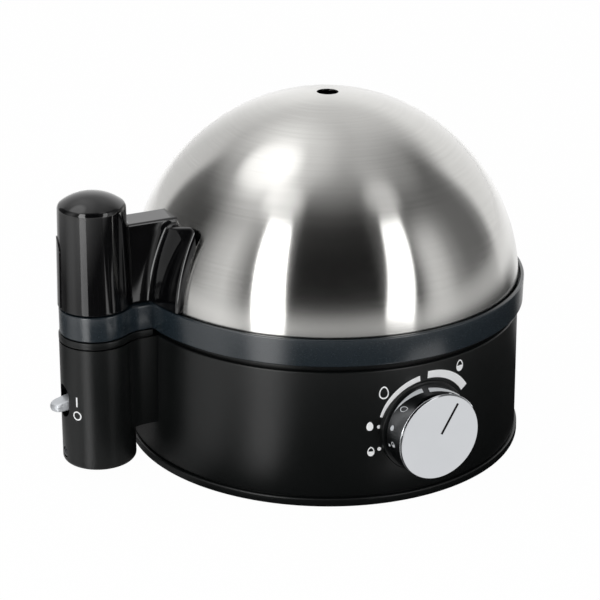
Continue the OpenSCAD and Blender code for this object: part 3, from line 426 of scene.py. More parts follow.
def skinOf(name, field, sizes, mat):  # smooth skin where a field of millimetres is zero
    low, high, step = sizes["boxLow"], sizes["boxHigh"], sizes["stepMm"]
    probe, passes, flattest, stride = 0.01, 6, 0.05, 0.6 * step
    axes = [np.arange(low[i] - step, high[i] + 2 * step, step) for i in range(3)]
    inside = field(np.stack(np.meshgrid(*axes, indexing="ij"), -1)) < 0
    shape = [n - 1 for n in inside.shape]
    total = sum(inside[i:i + shape[0], j:j + shape[1], k:k + shape[2]].astype(int)
                for i in (0, 1) for j in (0, 1) for k in (0, 1))
    crossed = (total > 0) & (total < 8)  # cells with corners on both sides hold one point each
    numbers = np.full(shape, -1)
    numbers[crossed] = np.arange(crossed.sum())
    points = np.array([a[0] for a in axes]) + (np.argwhere(crossed) + 0.5) * step

    def slope(at):
        return np.stack([(field(at + probe * axis) - field(at - probe * axis)) / (2 * probe)
                         for axis in np.eye(3)], -1)

    for _ in range(passes):  # pull each point onto the zero surface
        push = slope(points)
        push *= (field(points) / np.maximum((push ** 2).sum(-1), flattest))[:, None]
        points -= np.clip(push, -stride, stride)
    faces = []
    for axis in range(3):  # a grid edge that passes through the skin gives a face between its four cells
        u, v = (axis + 1) % 3, (axis + 2) % 3
        change = np.diff(inside.astype(int), axis=axis)
        places = np.argwhere(change)
        places = places[(places[:, u] > 0) & (places[:, v] > 0)
                        & (places[:, u] < shape[u]) & (places[:, v] < shape[v])]
        quads = []
        for du, dv in ((1, 1), (0, 1), (0, 0), (1, 0)):
            cell = places.copy()
            cell[:, u] -= du
            cell[:, v] -= dv
            quads.append(numbers[tuple(cell.T)])
        quads = np.stack(quads, -1)
        flip = change[tuple(places.T)] > 0
        quads[flip] = quads[flip][:, ::-1]
        faces += quads.tolist()
    mesh = bpy.data.meshes.new(name)
    mesh.from_pydata((points * mm).tolist(), [], faces)
    mesh.materials.append(mat)
    mesh.shade_smooth()
    normals = slope(points)
    normals /= np.linalg.norm(normals, axis=-1, keepdims=True)
    mesh.normals_split_custom_set_from_vertices(normals.tolist())
    return newObject(name, mesh)


def roundMax(a, b, radius):  # two faces that meet in a rounded edge
    return np.minimum(np.maximum(a, b), -radius) + np.hypot(np.maximum(a + radius, 0),
                                                            np.maximum(b + radius, 0))


def roundMin(a, b, radius):  # two solids that meet in a fillet
    return -roundMax(-a, -b, radius)


def softMin(a, b, reach):  # two solids that flow into each other with no line where the fillet starts
    return np.minimum(a, b) - reach * np.log1p(np.exp(-np.abs(a - b) / reach))


def nodeCopy(name, node, sharpDeg=30):  # a solid that already has its shape, merged and smooth-shaded
    settle(outwards(newObject(name, frame["nodes"][node].data.copy()), sharpDeg), node)


# drum, neck and lower tower: one moulding
drum = dict(topR=89.8, draftDeg=1.5, topZ=63.4, rimZ=5.0, wall=2.4, collarR=87.6, collarIn=84.4, collarZ=70.0,
            collarEdge=0.6, ledgeIn=80.0, ledgeZ=62.0, ledgeUnder=59.6, ledgeEdge=0.4, rimEdge=0.7,
            shoulderEdge=0.8, segments=256)
tower = dict(x=-114.6, r=16.2, draftDeg=0.3, floorZ=5.8, edge=2.0, topEdge=0.3, wall=2.2, segments=128,
             fillet=14.0, halfNeck=10.3, neckZ=21.7, neckIn=88.5, hollowR=14.0, hollowZ=(8, 70),
             slotHalfWide=4.9, slotHalfTall=7.65, slotZ=36.35, lampR=2.5, lampZ=11.0, lampSegments=48,
             slotSteps=24, cutFrom=-147, cutLong=26, neckSteps=12, filletSteps=16, roundSteps=96)
seats = dict(knobSeat=dict(r=20.85, z=34.5, front=91.06, facing=-1, deep=4.8, edge=0.35, segments=128),
             glandSeat=dict(r=9.1, z=17.0, front=91.515, facing=1, deep=4.8, edge=0.35, segments=96))


def drumR(z):
    return drum["topR"] + (drum["topZ"] - z) * math.tan(math.radians(drum["draftDeg"]))


def towerR(z):
    return tower["r"] + (drum["topZ"] - z) * math.tan(math.radians(tower["draftDeg"]))


def towerPlan(radius, inset, inner):  # tower and neck seen from above, drawn in by the inset
    radius, half, fillet = radius - inset, tower["halfNeck"] - inset, tower["fillet"] + inset
    span = math.sqrt((radius + fillet) ** 2 - (half + fillet) ** 2)
    meet = math.degrees(math.atan2(half + fillet, span))
    rim = math.degrees(math.asin(half / inner))
    plan = [Vector((-p.x, p.y)) for p in bentArc(0, 0, inner, -rim, rim, tower["neckSteps"])]
    return plan + [p + Vector((tower["x"], 0)) for p in
                   bentArc(span, half + fillet, fillet, -90, meet - 180, tower["filletSteps"])
                   + bentArc(0, 0, radius, meet, 360 - meet, tower["roundSteps"])[1:-1]
                   + bentArc(span, -half - fillet, fillet, 180 - meet, 90, tower["filletSteps"])]


def softStack(radius, low, high, edge, inner, steps=4):  # the same plan with rounded rims
    bends = [math.pi / 2 * k / steps for k in range(steps + 1)]
    rims = [(edge * (1 - math.sin(bend)), low + edge * (1 - math.cos(bend))) for bend in bends]
    rims += [(inset, high + low - z) for inset, z in reversed(rims)]
    return [(towerPlan(radius, inset, inner), z) for inset, z in rims]


def towerCore(name, radius, low, high, mat):  # a round cutter on the tower's axis
    circle = bentArc(tower["x"], 0, radius, 0, 360, tower["roundSteps"])[:-1]
    return prism(name, circle, low, high, mat)


def slotBar():  # a bar along X with round ends, which cuts the switch's slot
    half, tall, steps = [tower[key] for key in ("slotHalfWide", "slotHalfTall", "slotSteps")]
    plan = bentArc(0, tall - half, half, 0, 180, steps) + bentArc(0, half - tall, half, 180, 360, steps)
    obj = prism("slotBar", plan, 0, tower["cutLong"], mattBlack)
    alongX = Matrix(((0, 0, 1, 0), (1, 0, 0, 0), (0, 1, 0, 0), (0, 0, 0, 1)))
    obj.data.transform(placed(tower["cutFrom"], 0, tower["slotZ"]) @ alongX)
    return obj


drum.update(rimR=drumR(drum["rimZ"]), rimIn=drumR(drum["rimZ"]) - drum["wall"],
            ledgeOut=drumR(drum["ledgeUnder"]) - drum["wall"])
drumShell = turnedPiece("drumShell", profile(drum, (
    "rimR rimZ rimEdge, topR topZ shoulderEdge, collarR topZ, collarR collarZ collarEdge, "
    "collarIn collarZ collarEdge, collarIn ledgeZ, ledgeIn ledgeZ ledgeEdge, ledgeIn ledgeUnder, "
    "ledgeOut ledgeUnder, rimIn rimZ")), drum["segments"], mattBlack)
tower.update(topZ=drum["topZ"], topIn=tower["r"] - tower["wall"], floorTop=tower["floorZ"] + tower["wall"],
             floorR=towerR(tower["floorZ"]))
tower["floorIn"] = towerR(tower["floorTop"]) - tower["wall"]
towerShell = turnedPiece("towerShell", profile(tower, (
    "zero floorZ, floorR floorZ edge, r topZ topEdge, topIn topZ, floorIn floorTop, zero floorTop"),
    steps=10), tower["segments"], mattBlack, placed(tower["x"], 0, 0))
lampHole = turnedPiece("lampHole", profile(tower, "zero zero, lampR zero, lampR cutLong, zero cutLong"),
                       tower["lampSegments"], mattBlack, placed(tower["cutFrom"], 0, tower["lampZ"], 90, "Y"))
cutAway(towerShell, [lampHole, slotBar()])
neck = prism("neck", towerPlan(tower["r"], 0, tower["neckIn"]), tower["neckZ"], drum["topZ"], mattBlack)
cutAway(neck, [towerCore("hollow", tower["hollowR"], *tower["hollowZ"], mattBlack), slotBar()])
housing = [drumShell, towerShell, neck]
for name, seat in seats.items():
    back = placed(0, seat["facing"] * (seat["front"] - seat["deep"]), seat["z"], -90 * seat["facing"])
    housing.append(turnedPiece(name, profile(seat, "zero zero, r zero, r deep edge, zero deep"),
                               seat["segments"], mattBlack, back))
settle(join("drumAndTower", housing, mattBlack), "base_housing")
print("drum and tower")

# cap over the lower tower, above a groove
cap = dict(r=16.3, low=64.0, high=67.0, edge=0.45, inner=92.4, grooveInset=1.0, grooveUnder=1.0,
           grooveOver=0.5)
capPlate = stackedRings("capPlate", softStack(cap["r"], cap["low"], cap["high"], cap["edge"], cap["inner"]),
                        mattBlack)
capGroove = prism("capGroove", towerPlan(tower["r"], cap["grooveInset"], cap["inner"]),
                  drum["topZ"] - cap["grooveUnder"], cap["low"] + cap["grooveOver"], mattBlack)
settle(join("towerCap", [capPlate, capGroove], mattBlack), "tower_cap")

# floor with its foot ring, vent slots and the two posts of the control board
cover = dict(low=2.2, top=4.6, ringLow=1.0, proud=1.1, ringWide=3.0, landOut=90.43, landIn=81.03,
             innerEdge=0.4, outerEdge=0.5, topEdge=0.6, segments=256, slots=7, pitch=8.0, slotHalf=1.5,
             slotLong=36.0, slotHigh=8)
posts = dict(x=22.0, y=-76.46, halfWide=3.0, halfDeep=3.5, top=14.0, sunk=0.3, boardFrom=8.0, halfBoard=0.9,
             over=1)
cover.update(ringOut=drumR(cover["ringLow"]) + cover["proud"], topR=drumR(cover["top"]) + cover["proud"],
             rimZ=drum["rimZ"])
cover["ringIn"] = cover["ringOut"] - cover["ringWide"]
coverPlate = turnedPiece("coverPlate", profile(cover, (
    "zero low, ringIn low, ringIn ringLow innerEdge, ringOut ringLow outerEdge, topR top topEdge, "
    "landOut top, landOut rimZ, landIn rimZ, landIn top, zero top")), cover["segments"], mattBlack)
slotCuts = []
for i in range(cover["slots"]):
    x, y = (i - cover["slots"] // 2) * cover["pitch"], cover["slotLong"] / 2
    slotCuts.append(box("slot", (x - cover["slotHalf"], -y, 0),
                        (x + cover["slotHalf"], y, cover["slotHigh"]), mattBlack))
coverPieces = [cutAway(coverPlate, slotCuts)]
for x in (-posts["x"], posts["x"]):
    y, wide, deep, board = [posts[key] for key in ("y", "halfWide", "halfDeep", "halfBoard")]
    post = box("post", (x - wide, y - deep, cover["top"] - posts["sunk"]), (x + wide, y + deep, posts["top"]),
               mattBlack)
    boardSlot = box("boardSlot", (x - 2 * wide, y - board, posts["boardFrom"]),
                    (x + 2 * wide, y + board, posts["top"] + posts["over"]), mattBlack)
    coverPieces.append(cutAway(post, [boardSlot]))
settle(join("coverPlate", coverPieces, mattBlack), "bottom_cover")

for name, node in (("glandBush", "cord_gland"), ("inlay", "handle_inlay"), ("handlePlate", "handle_base")):
    nodeCopy(name, node)
print("cap and foot")

# tray: band with its lip and seat, the loop round the tower, and the egg plate
tray = dict(skirtIn=88.0, bandR=92.0, lowZ=66.8, topZ=79.0, lipIn=90.4, seatZ=74.4, seatIn=86.2,
            plateLow=70.0, plateTop=72.4, plateOut=84.2, edge=0.6, lipEdge=0.4, skirtEdge=0.3, segments=256,
            loopR=15.8, loopLow=67.4, loopHigh=78.6, loopEdge=0.5, loopIn=91.0, socketR=13.6,
            socketZ=(69.6, 85))
band = turnedPiece("band", profile(tray, (
    "skirtIn plateLow, skirtIn lowZ skirtEdge, bandR lowZ edge, bandR topZ edge, lipIn topZ lipEdge, "
    "lipIn seatZ, seatIn seatZ lipEdge, seatIn plateTop, plateOut plateTop, plateOut plateLow")),
    tray["segments"], slateSatin)
loop = stackedRings("loop", softStack(tray["loopR"], tray["loopLow"], tray["loopHigh"], tray["loopEdge"],
                                      tray["loopIn"]), slateSatin)
cutAway(loop, [towerCore("socket", tray["socketR"], *tray["socketZ"], slateSatin)])

# tree: a round plate with a rimmed hole in the middle and more on a circle, and steam holes outside them
tree, given = newTree("rimmedHolePlate", [(label, "Float") for label in (
    "Plate Radius", "Plate Height", "Rim Radius", "Rim Height", "Rim Lift", "Hole Radius", "Narrow Radius",
    "Drill Depth", "Drill Shift", "Pin Depth", "Hole Circle", "Hole Turn", "Steam Radius", "Steam Circle",
    "Steam Turn")] + [(label, "Int") for label in (
        "Plate Segments", "Hole Segments", "Steam Segments", "Hole Count", "Steam Count")])
disc = addNode(tree, "GeometryNodeMeshCylinder", {
    "Vertices": given["Plate Segments"], "Radius": given["Plate Radius"], "Depth": given["Plate Height"]})
rim = addNode(tree, "GeometryNodeMeshCylinder", {
    "Vertices": given["Hole Segments"], "Radius": given["Rim Radius"], "Depth": given["Rim Height"]})
drill = addNode(tree, "GeometryNodeMeshCone", {
    "Vertices": given["Hole Segments"], "Radius Bottom": given["Narrow Radius"],
    "Radius Top": given["Hole Radius"], "Depth": given["Drill Depth"]})
pin = addNode(tree, "GeometryNodeMeshCylinder", {
    "Vertices": given["Steam Segments"], "Radius": given["Steam Radius"], "Depth": given["Pin Depth"]})
halfPlate = addNode(tree, "ShaderNodeMath", {0: given["Plate Height"], 1: 0.5}, operation="MULTIPLY")
halfRim = addNode(tree, "ShaderNodeMath", {0: given["Rim Height"], 1: 0.5, 2: given["Rim Lift"]},
                  operation="MULTIPLY_ADD")
lifted = []
for piece, height in ((disc, halfPlate), (rim, halfRim), (drill, given["Drill Shift"])):
    lift = addNode(tree, "ShaderNodeCombineXYZ", {"Z": height})
    lifted.append(addNode(tree, "GeometryNodeTransform", {"Geometry": piece, "Translation": lift}))
rows = []
for kind in ("Hole", "Steam"):
    circle = addNode(tree, "GeometryNodeMeshCircle", {
        "Vertices": given[kind + " Count"], "Radius": given[kind + " Circle"]})
    heading = addNode(tree, "ShaderNodeCombineXYZ", {"Z": given[kind + " Turn"]})
    rows.append(addNode(tree, "GeometryNodeTransform", {"Geometry": circle, "Rotation": heading}))
centre = addNode(tree, "GeometryNodeMeshLine", {"Count": 1})
holes = addNode(tree, "GeometryNodeJoinGeometry", {"Geometry": [rows[0], centre]})
rims, drills, pins = [addNode(tree, "GeometryNodeInstanceOnPoints", {"Points": points, "Instance": piece})
                      for points, piece in ((holes, lifted[1]), (holes, lifted[2]), (rows[1], pin))]
blank = addNode(tree, "GeometryNodeMeshBoolean", operation="UNION")
bored = addNode(tree, "GeometryNodeMeshBoolean", {"Mesh 1": blank, "Mesh 2": [drills, pins]},
                operation="DIFFERENCE")
for piece in (lifted[0], rims):
    tree.links.new(piece.outputs[0], blank.inputs["Mesh 2"])
plateTree = closeTree(tree, bored, given)

eggPlate = {"Plate Radius": 0.0852, "Plate Height": 0.0024, "Rim Radius": 0.0201, "Rim Height": 0.0064,
            "Rim Lift": 0.0002, "Hole Radius": 0.0185, "Narrow Radius": 0.017, "Drill Depth": 0.0075,
            "Drill Shift": -0.0004, "Pin Depth": 0.02, "Hole Circle": 0.052, "Hole Turn": math.radians(30),
            "Steam Radius": 0.0025, "Steam Circle": 0.07825, "Steam Turn": math.radians(15),
            "Plate Segments": 192, "Hole Segments": 64, "Steam Segments": 24, "Hole Count": 6,
            "Steam Count": 12}  # lengths in metres
plate = runTree("plate", plateTree, bpy.data.meshes.new("plate"), {**eggPlate, "Material": slateSatin})
plate.data.transform(placed(0, 0, tray["plateLow"]))
settle(join("eggTray", [band, loop, plate], slateSatin), "egg_tray")
print("tray")

# dome: thin brushed shell with a turned rim and a steam vent
dome = dict(r=89.8, thick=0.8, centreZ=71.5, rimZ=74.4, ventR=4.9, segments=256, outSteps=80, inSteps=40,
            sharpDeg=40)
skin = []
for r, way, steps in ((dome["r"], 1, dome["outSteps"]),  # up the outside and down the inside
                      (dome["r"] - dome["thick"], -1, dome["inSteps"])):
    ends = [math.asin((dome["rimZ"] - dome["centreZ"]) / r), math.acos(dome["ventR"] / r)]
    skin += bentArc(0, dome["centreZ"], r, *[math.degrees(end) for end in ends[::way]], steps)
settle(turnedPiece("dome", skin + skin[:1], dome["segments"], brushedSteel, sharpDeg=dome["sharpDeg"]),
       "lid_dome")

# handle: tower with a domed top, an arm and a pad that hugs the dome, blended with fillets
handle = dict(x=-114.6, low=79.4, r=15.7, topR=14.8, shoulder=125.1, rise=5.5, rimEdge=1.0, lowEdge=0.4,
              armHalf=7.0, armTop=116.1, armEdge=1.1, towerFillet=0.8, padHalfLow=28.0, padHalfTop=25.5,
              padThick=2.6, padCorner=3.0, padEdge=1.3, padDraft=0.1, padFillet=1.8, padFrom=-40, pressed=0.3,
              padRim=[(-22.5, 116.1), (-7, 112.1), (7, 112.1), (22.5, 108.1)],  # (y, z) along its upper edge
              bore=13.5, boreTop=82.1, boxLow=(-131.5, -28, 79), boxHigh=(-78, 28, 131.5), stepMm=0.5)


def handleField(p):
    x, y, z = p[..., 0], p[..., 1], p[..., 2]
    reach = np.hypot(x - handle["x"], y)
    lean = (handle["r"] - handle["topR"]) / (handle["shoulder"] - handle["low"])
    side = (reach - handle["r"] + (z - handle["low"]) * lean) / math.hypot(1, lean)
    capR = (handle["topR"] ** 2 + handle["rise"] ** 2) / (2 * handle["rise"])
    climb = z - handle["shoulder"] - handle["rise"] + capR
    top = np.where(climb > 0, np.hypot(reach, climb), reach) - capR
    post = roundMax(side, top, handle["rimEdge"])
    arm = roundMax(np.abs(y) - handle["armHalf"], z - handle["armTop"], handle["armEdge"])
    arm = np.maximum(arm, handle["x"] - x)
    fall = np.sqrt(x ** 2 + y ** 2 + (z - dome["centreZ"]) ** 2) - dome["r"]
    narrowing = (handle["padHalfLow"] - handle["padHalfTop"]) / (handle["armTop"] - handle["low"])
    edge = np.abs(y) - handle["padHalfLow"] + (z - handle["low"]) * narrowing + fall * handle["padDraft"]
    edge /= math.hypot(1, narrowing, handle["padDraft"])
    outline = roundMax(edge, z - np.interp(y, *zip(*handle["padRim"])), handle["padCorner"])
    pad = roundMax(outline, fall - handle["padThick"], handle["padEdge"])
    pad = np.maximum(pad, x - handle["padFrom"])
    hug = roundMax(softMin(arm, pad, handle["padFillet"]), z - handle["armTop"], handle["armEdge"])
    body = np.maximum(roundMin(post, hug, handle["towerFillet"]), -handle["pressed"] - fall)
    body = roundMax(body, handle["low"] - z, handle["lowEdge"])
    bore = np.maximum(reach - handle["bore"], z - handle["boreTop"])
    return np.maximum(body, -bore)


settle(skinOf("handle", handleField, handle, glossBlack), "lid_handle")
print("dome and handle")

# knob: plated cap with a bevelled satin face and mirror sides, its face a hair below the pointer's
knob = dict(r=19.75, back=91.46, face=103.71, bevel=0.6, bevelEdge=0.25, backEdge=0.3, wall=1.8, z=34.5,
            segments=160, sharpDeg=50, faceTurn=-0.9, faceSlack=0.05)
knob.update(bevelR=knob["r"] - knob["bevel"], bevelZ=knob["face"] - knob["bevel"],
            sideIn=knob["r"] - knob["wall"], faceIn=knob["face"] - knob["wall"])
knobCap = turnedPiece("knob", profile(knob, (
    "zero face, bevelR face bevelEdge, r bevelZ bevelEdge, r back backEdge, sideIn back, sideIn faceIn, "
    "zero faceIn"), steps=4), knob["segments"], chromeSide, placed(0, 0, knob["z"], 90), knob["sharpDeg"])
knobCap.data.materials.append(chromeFace)
for face in knobCap.data.polygons:
    if face.normal.y < knob["faceTurn"] and face.center.y < (knob["faceSlack"] - knob["face"]) * mm:
        face.material_index = 1
settle(knobCap, "knob")
nodeCopy("pointer", "knob_pointer")

# switch lever: a rounded paddle on its hub
lever = dict(x=-120.6, z=36.35, droopDeg=9.0, hubR=3.4, hubEdge=0.4, half=4.2, thick=5.0, tipThick=3.4,
             thinFrom=8, length=16.54, edge=1.5, fillet=0.8, pinR=1.55, boxLow=(-138.5, -5, 29),
             boxHigh=(-116, 5, 44), stepMm=0.28)


def leverField(p):
    droop = math.radians(lever["droopDeg"])
    x, y, z = p[..., 0] - lever["x"], p[..., 1], p[..., 2] - lever["z"]
    along = -(x * math.cos(droop) + z * math.sin(droop))
    up = z * math.cos(droop) - x * math.sin(droop)
    tip = lever["length"] - lever["half"]
    plan = np.where(along > tip, np.hypot(along - tip, y), np.abs(y)) - lever["half"]
    thinning = np.clip((along - lever["thinFrom"]) / (lever["length"] - lever["thinFrom"]), 0, 1)
    thick = lever["thick"] - (lever["thick"] - lever["tipThick"]) * thinning
    paddle = np.maximum(roundMax(plan, np.abs(up) - thick / 2, lever["edge"]), -along)
    hub = roundMax(np.hypot(along, up) - lever["hubR"], np.abs(y) - lever["half"], lever["hubEdge"])
    return np.maximum(roundMin(paddle, hub, lever["fillet"]), lever["pinR"] - np.hypot(along, up))


settle(skinOf("lever", leverField, lever, silverLever), "switch_lever")

# lamp lens: a low dome in the tower's wall
lens = dict(r=2.4, back=125.9, front=131.37, crownR=3.0, crownDeg=53, crownSteps=12, z=11.0, segments=48,
            sharpDeg=60)
crown = bentArc(0, lens["front"] - lens["crownR"], lens["crownR"], 90 - lens["crownDeg"], 90,
                lens["crownSteps"])
lensLoop = [(0, -lens["back"]), (lens["r"], -lens["back"])] + [(p.x, -p.y) for p in crown]
settle(turnedPiece("lampLens", lensLoop + lensLoop[:1], lens["segments"], smokedLens,
                   placed(0, 0, lens["z"], 90, "Y"), lens["sharpDeg"]), "lamp_lens")

# heating dish
dish = dict(floorR=74.6, topR=79.0, rimR=84.0, rimZ=63.2, under=53.0, thick=1.0, underEdge=2.0, floorEdge=3.0,
            topEdge=1.0, rimEdge=0.3, segments=192)
dish.update(rimTop=dish["rimZ"] + dish["thick"], floorZ=dish["under"] + dish["thick"],
            topIn=dish["topR"] - dish["thick"], floorIn=dish["floorR"] - dish["thick"])
settle(turnedPiece("dish", profile(dish, (
    "zero under, floorR under underEdge, topR rimZ topEdge, rimR rimZ rimEdge, rimR rimTop rimEdge, "
    "topIn rimTop topEdge, floorIn floorZ floorEdge, zero floorZ")), dish["segments"], dishSteel),
    "heating_dish")
print("knob, lever, lamp and dish")

# feet: four rubber studs, one turned piece copied round the floor
feet = dict(r=7.0, high=2.2, edge=0.8, plugR=2.5, plugTop=4.6, plugEdge=0.3, circle=70.0, turnDeg=45, count=4,
            segments=48)
foot = turnedPiece("foot", profile(feet, (
    "zero zero, r zero edge, r high, plugR high, plugR plugTop plugEdge, zero plugTop")), feet["segments"],
    blackRubber)
settle(outwards(runTree("feet", ringTree, foot.data, {
    "Count": feet["count"], "Radius": feet["circle"] * mm, "Turn": math.radians(feet["turnDeg"]),
    "Material": blackRubber})), "rubber_feet")

# printed marks, drawn flat as (x, z) in millimetres and laid on the walls
marks = dict(thick=0.1, sunk=0.04, eggWide=4.3, eggTall=5.9, eggTaper=0.16)
dial = dict(centre=(0, 34.5),
            arcs=[(-70.6, -6, (20.5, 21.35), (22.1, 23.85)), (3.6, 60, (21.9, 23.45), (25.1, 27.35))],
            eggs=[((-19.2, 52.9), 0.79, 1.0), ((19.0, 58.2), 0.684, 0.9), ((-25.3, 37.9), 0.014, 0.7),
                  ((-24.7, 26.0), 0.5476, 0.74)],  # centre, size inside the line and outside it
            halves=[((19.0, 58.2), 0.84), ((-24.7, 26.0), 0.7)],  # the filled lower part of two of them
            dots=[(-21.3, 37.3), (-21.0, 26.9)], dotR=0.85, pinhole=0.02, arcSteps=40, dotSteps=24)
signs = dict(barHalf=0.35, barZ=(36.2, 40.8), ringAt=(0, 31.9), ringIn=1.55, ringOut=2.15, ringSteps=36,
             turnDeg=-56)


def strip(bm, inner, outer, closed=False):  # quads between two lines
    a, b = [[bm.verts.new((x * mm, 0, z * mm)) for x, z in line] for line in (inner, outer)]
    for i in range(len(a) if closed else len(a) - 1):
        j = (i + 1) % len(a)
        bm.faces.new((a[i], b[i], b[j], a[j]))


def clockArc(bm, fromDeg, toDeg, insideR, outsideR, centre, steps):  # radii are (first, last)
    lines = [[], []]
    for k in range(steps + 1):
        part = k / steps
        turn = math.radians(fromDeg + (toDeg - fromDeg) * part)
        for line, (first, last) in zip(lines, (insideR, outsideR)):
            r = first + (last - first) * part
            line.append((centre[0] + r * math.sin(turn), centre[1] + r * math.cos(turn)))
    strip(bm, *lines)


def eggPoint(centre, turn, size):  # an egg's outline, its narrow end up
    wide, tall = marks["eggWide"] / 2 * size, marks["eggTall"] / 2 * size
    return (centre[0] + wide * math.cos(turn) * (1 - marks["eggTaper"] * math.sin(turn)),
            centre[1] + tall * math.sin(turn))


def eggRing(bm, centre, fromSize, toSize, steps=36):
    turns = [2 * math.pi * k / steps for k in range(steps)]
    strip(bm, *[[eggPoint(centre, t, size) for t in turns] for size in (fromSize, toSize)], True)


def eggHalf(bm, centre, size, steps=12):  # the filled lower part
    bends = [math.pi / 2 * k / steps for k in range(steps + 1)]
    left = [eggPoint(centre, math.pi + bend, size) for bend in bends]
    right = [eggPoint(centre, -bend, size) for bend in bends]
    strip(bm, left[:-1], right[:-1])
    bm.faces.new([bm.verts.new((x * mm, 0, z * mm)) for x, z in (left[-2], left[-1], right[-2])])


def layMarks(name, bm, wallR, draftDeg, place):  # flat faces become thin closed solids on a leaning wall
    bmesh.ops.remove_doubles(bm, verts=bm.verts, dist=1e-6)
    bmesh.ops.translate(bm, verts=bm.verts, vec=(0, marks["sunk"] * mm, 0))
    raised = bmesh.ops.extrude_face_region(bm, geom=list(bm.faces))["geom"]
    bmesh.ops.translate(bm, verts=[v for v in raised if isinstance(v, bmesh.types.BMVert)],
                        vec=(0, -marks["thick"] * mm, 0))
    bmesh.ops.recalc_face_normals(bm, faces=bm.faces)
    obj = runTree(name, wrapTree, meshOf(name, bm, inkWhite), {
        "Radius": wallR * mm, "Height": drum["topZ"] * mm, "Slope": math.tan(math.radians(draftDeg)),
        "Material": inkWhite})
    obj.data.transform(place)
    outwards(obj)
    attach(obj, "base")


bm = bmesh.new()
for arc in dial["arcs"]:
    clockArc(bm, *arc, dial["centre"], dial["arcSteps"])
for egg in dial["eggs"]:
    eggRing(bm, *egg)
for half in dial["halves"]:
    eggHalf(bm, *half)
for dot in dial["dots"]:
    clockArc(bm, 0, 360, (dial["pinhole"],) * 2, (dial["dotR"],) * 2, dot, dial["dotSteps"])
layMarks("dialMarks", bm, drum["topR"], drum["draftDeg"], Matrix())
bm = bmesh.new()
strip(bm, *[[(x, z) for z in signs["barZ"]] for x in (-signs["barHalf"], signs["barHalf"])])
clockArc(bm, 0, 360, (signs["ringIn"],) * 2, (signs["ringOut"],) * 2, signs["ringAt"],
         signs["ringSteps"])
layMarks("switchMarks", bm, tower["r"], tower["draftDeg"], placed(tower["x"], 0, 0, signs["turnDeg"], "Z"))
print("feet and marks")

# studio: two upright softboxes, one high on the left and one behind, in metres
lamps = dict(
    leftStrip=dict(azimuth=-60.6, away=0.62, up=0.355, aimUp=0.355, size=(0.198, 0.67), radiance=4.4,
                   rollDeg=5),
    rightStrip=dict(azimuth=16.1, away=0.62, up=0.355, aimUp=0.355, size=(0.176, 0.67), radiance=2.6,
                    rollDeg=-10),
    highLeft=dict(azimuth=-125, away=0.75, up=1.6, aimUp=0.1, size=(1.2, 0.8), radiance=1.9, rollDeg=0),
    behind=dict(azimuth=152, away=1.8, up=0.72, aimUp=0.1, size=(2.0, 0.6), radiance=1.05, rollDeg=0))
for name, lamp in lamps.items():
    light = bpy.data.lights.new(name, "AREA")
    light.shape = "RECTANGLE"
    light.size, light.size_y = lamp["size"]
    light.energy = lamp["radiance"] * math.pi * light.size * light.size_y
    softbox = newObject(name, light)
    turn = math.radians(lamp["azimuth"])
    softbox.location = (lamp["away"] * math.sin(turn), -lamp["away"] * math.cos(turn), lamp["up"])
    faceTo(softbox, (0, 0, lamp["aimUp"]), lamp["rollDeg"])
    softbox.visible_camera = False
    softbox.visible_glossy = "Strip" in name  # the world stands for the others in reflections


def grey(tone):
    return [tone, tone, tone, 1]


def azimuthTones(tree, parts, tones):  # grey by compass angle round the axis, 0 towards the knob
    ahead = addNode(tree, "ShaderNodeMath", {0: parts["Y"], 1: -1.0}, operation="MULTIPLY")
    turn = addNode(tree, "ShaderNodeMath", {0: parts["X"], 1: ahead}, operation="ARCTAN2")
    share = addNode(tree, "ShaderNodeMapRange", {"Value": turn, "From Min": -math.pi, "From Max": math.pi})
    ramp = addNode(tree, "ShaderNodeValToRGB", {"Fac": share})
    stops = ramp.color_ramp.elements
    while len(stops) < len(tones):
        stops.new(0.5)
    for stop, (azimuth, tone) in zip(stops, tones):
        stop.position = (azimuth + 180) / 360
        stop.color = grey(tone)
    return ramp


def rayKinds(tree):  # rays from the camera, and rays that metal or glass sends on
    path = addNode(tree, "ShaderNodeLightPath").outputs
    return path["Is Camera Ray"], addNode(tree, "ShaderNodeMath", {
        0: path["Is Glossy Ray"], 1: path["Is Transmission Ray"]}, operation="MAXIMUM")


# world: white to the camera, even fill, and in reflections a grey room in two belts, dark behind the camera
room = dict(
    fill=0.45, overhead=0.55, beltDeg=(24, 44), fadeDeg=(48, 88),
    low=[(-180, 0.82), (-160, 0.8), (-154, 0.18), (-140, 0.1), (-122, 0.08), (-112, 0.3), (-100, 0.72),
         (-90, 0.9), (-82, 0.55), (-76, 0.25), (-54, 0.3), (-48, 0.01), (2, 0.01), (8, 0.08), (28, 0.08),
         (35, 0.7), (40, 0.9), (47, 0.78), (56, 0.38), (66, 0.2), (82, 0.17), (90, 0.3), (98, 1.0),
         (130, 1.1), (158, 1.2), (168, 1.0), (180, 0.82)],
    high=[(-180, 0.8), (-165, 0.6), (-150, 0.25), (-140, 0.15), (-125, 0.15), (-105, 0.5), (-92, 0.65),
          (-82, 0.5), (-76, 0.35), (-54, 0.25), (-48, 0.03), (2, 0.02), (8, 0.08), (40, 0.15), (70, 0.15),
          (92, 0.18), (104, 0.42), (116, 0.7), (130, 0.85), (180, 0.85)],
    glows=[dict(azimuth=-132, upDeg=63, fromDeg=19, fullDeg=9, strength=1.1),
           dict(azimuth=-138, upDeg=66, fromDeg=36, fullDeg=8, strength=0.5),
           dict(azimuth=-76, upDeg=58, fromDeg=14, fullDeg=6, strength=0.7),
           dict(azimuth=34, upDeg=57, fromDeg=13, fullDeg=3, strength=0.6),
           dict(azimuth=75, upDeg=63, fromDeg=22, fullDeg=8, strength=0.2)])
scene.world = bpy.data.worlds.new("studio")
tree = bareTree(scene.world)
fromCamera, glossy = rayKinds(tree)
outlook = addNode(tree, "ShaderNodeTexCoord").outputs["Generated"]
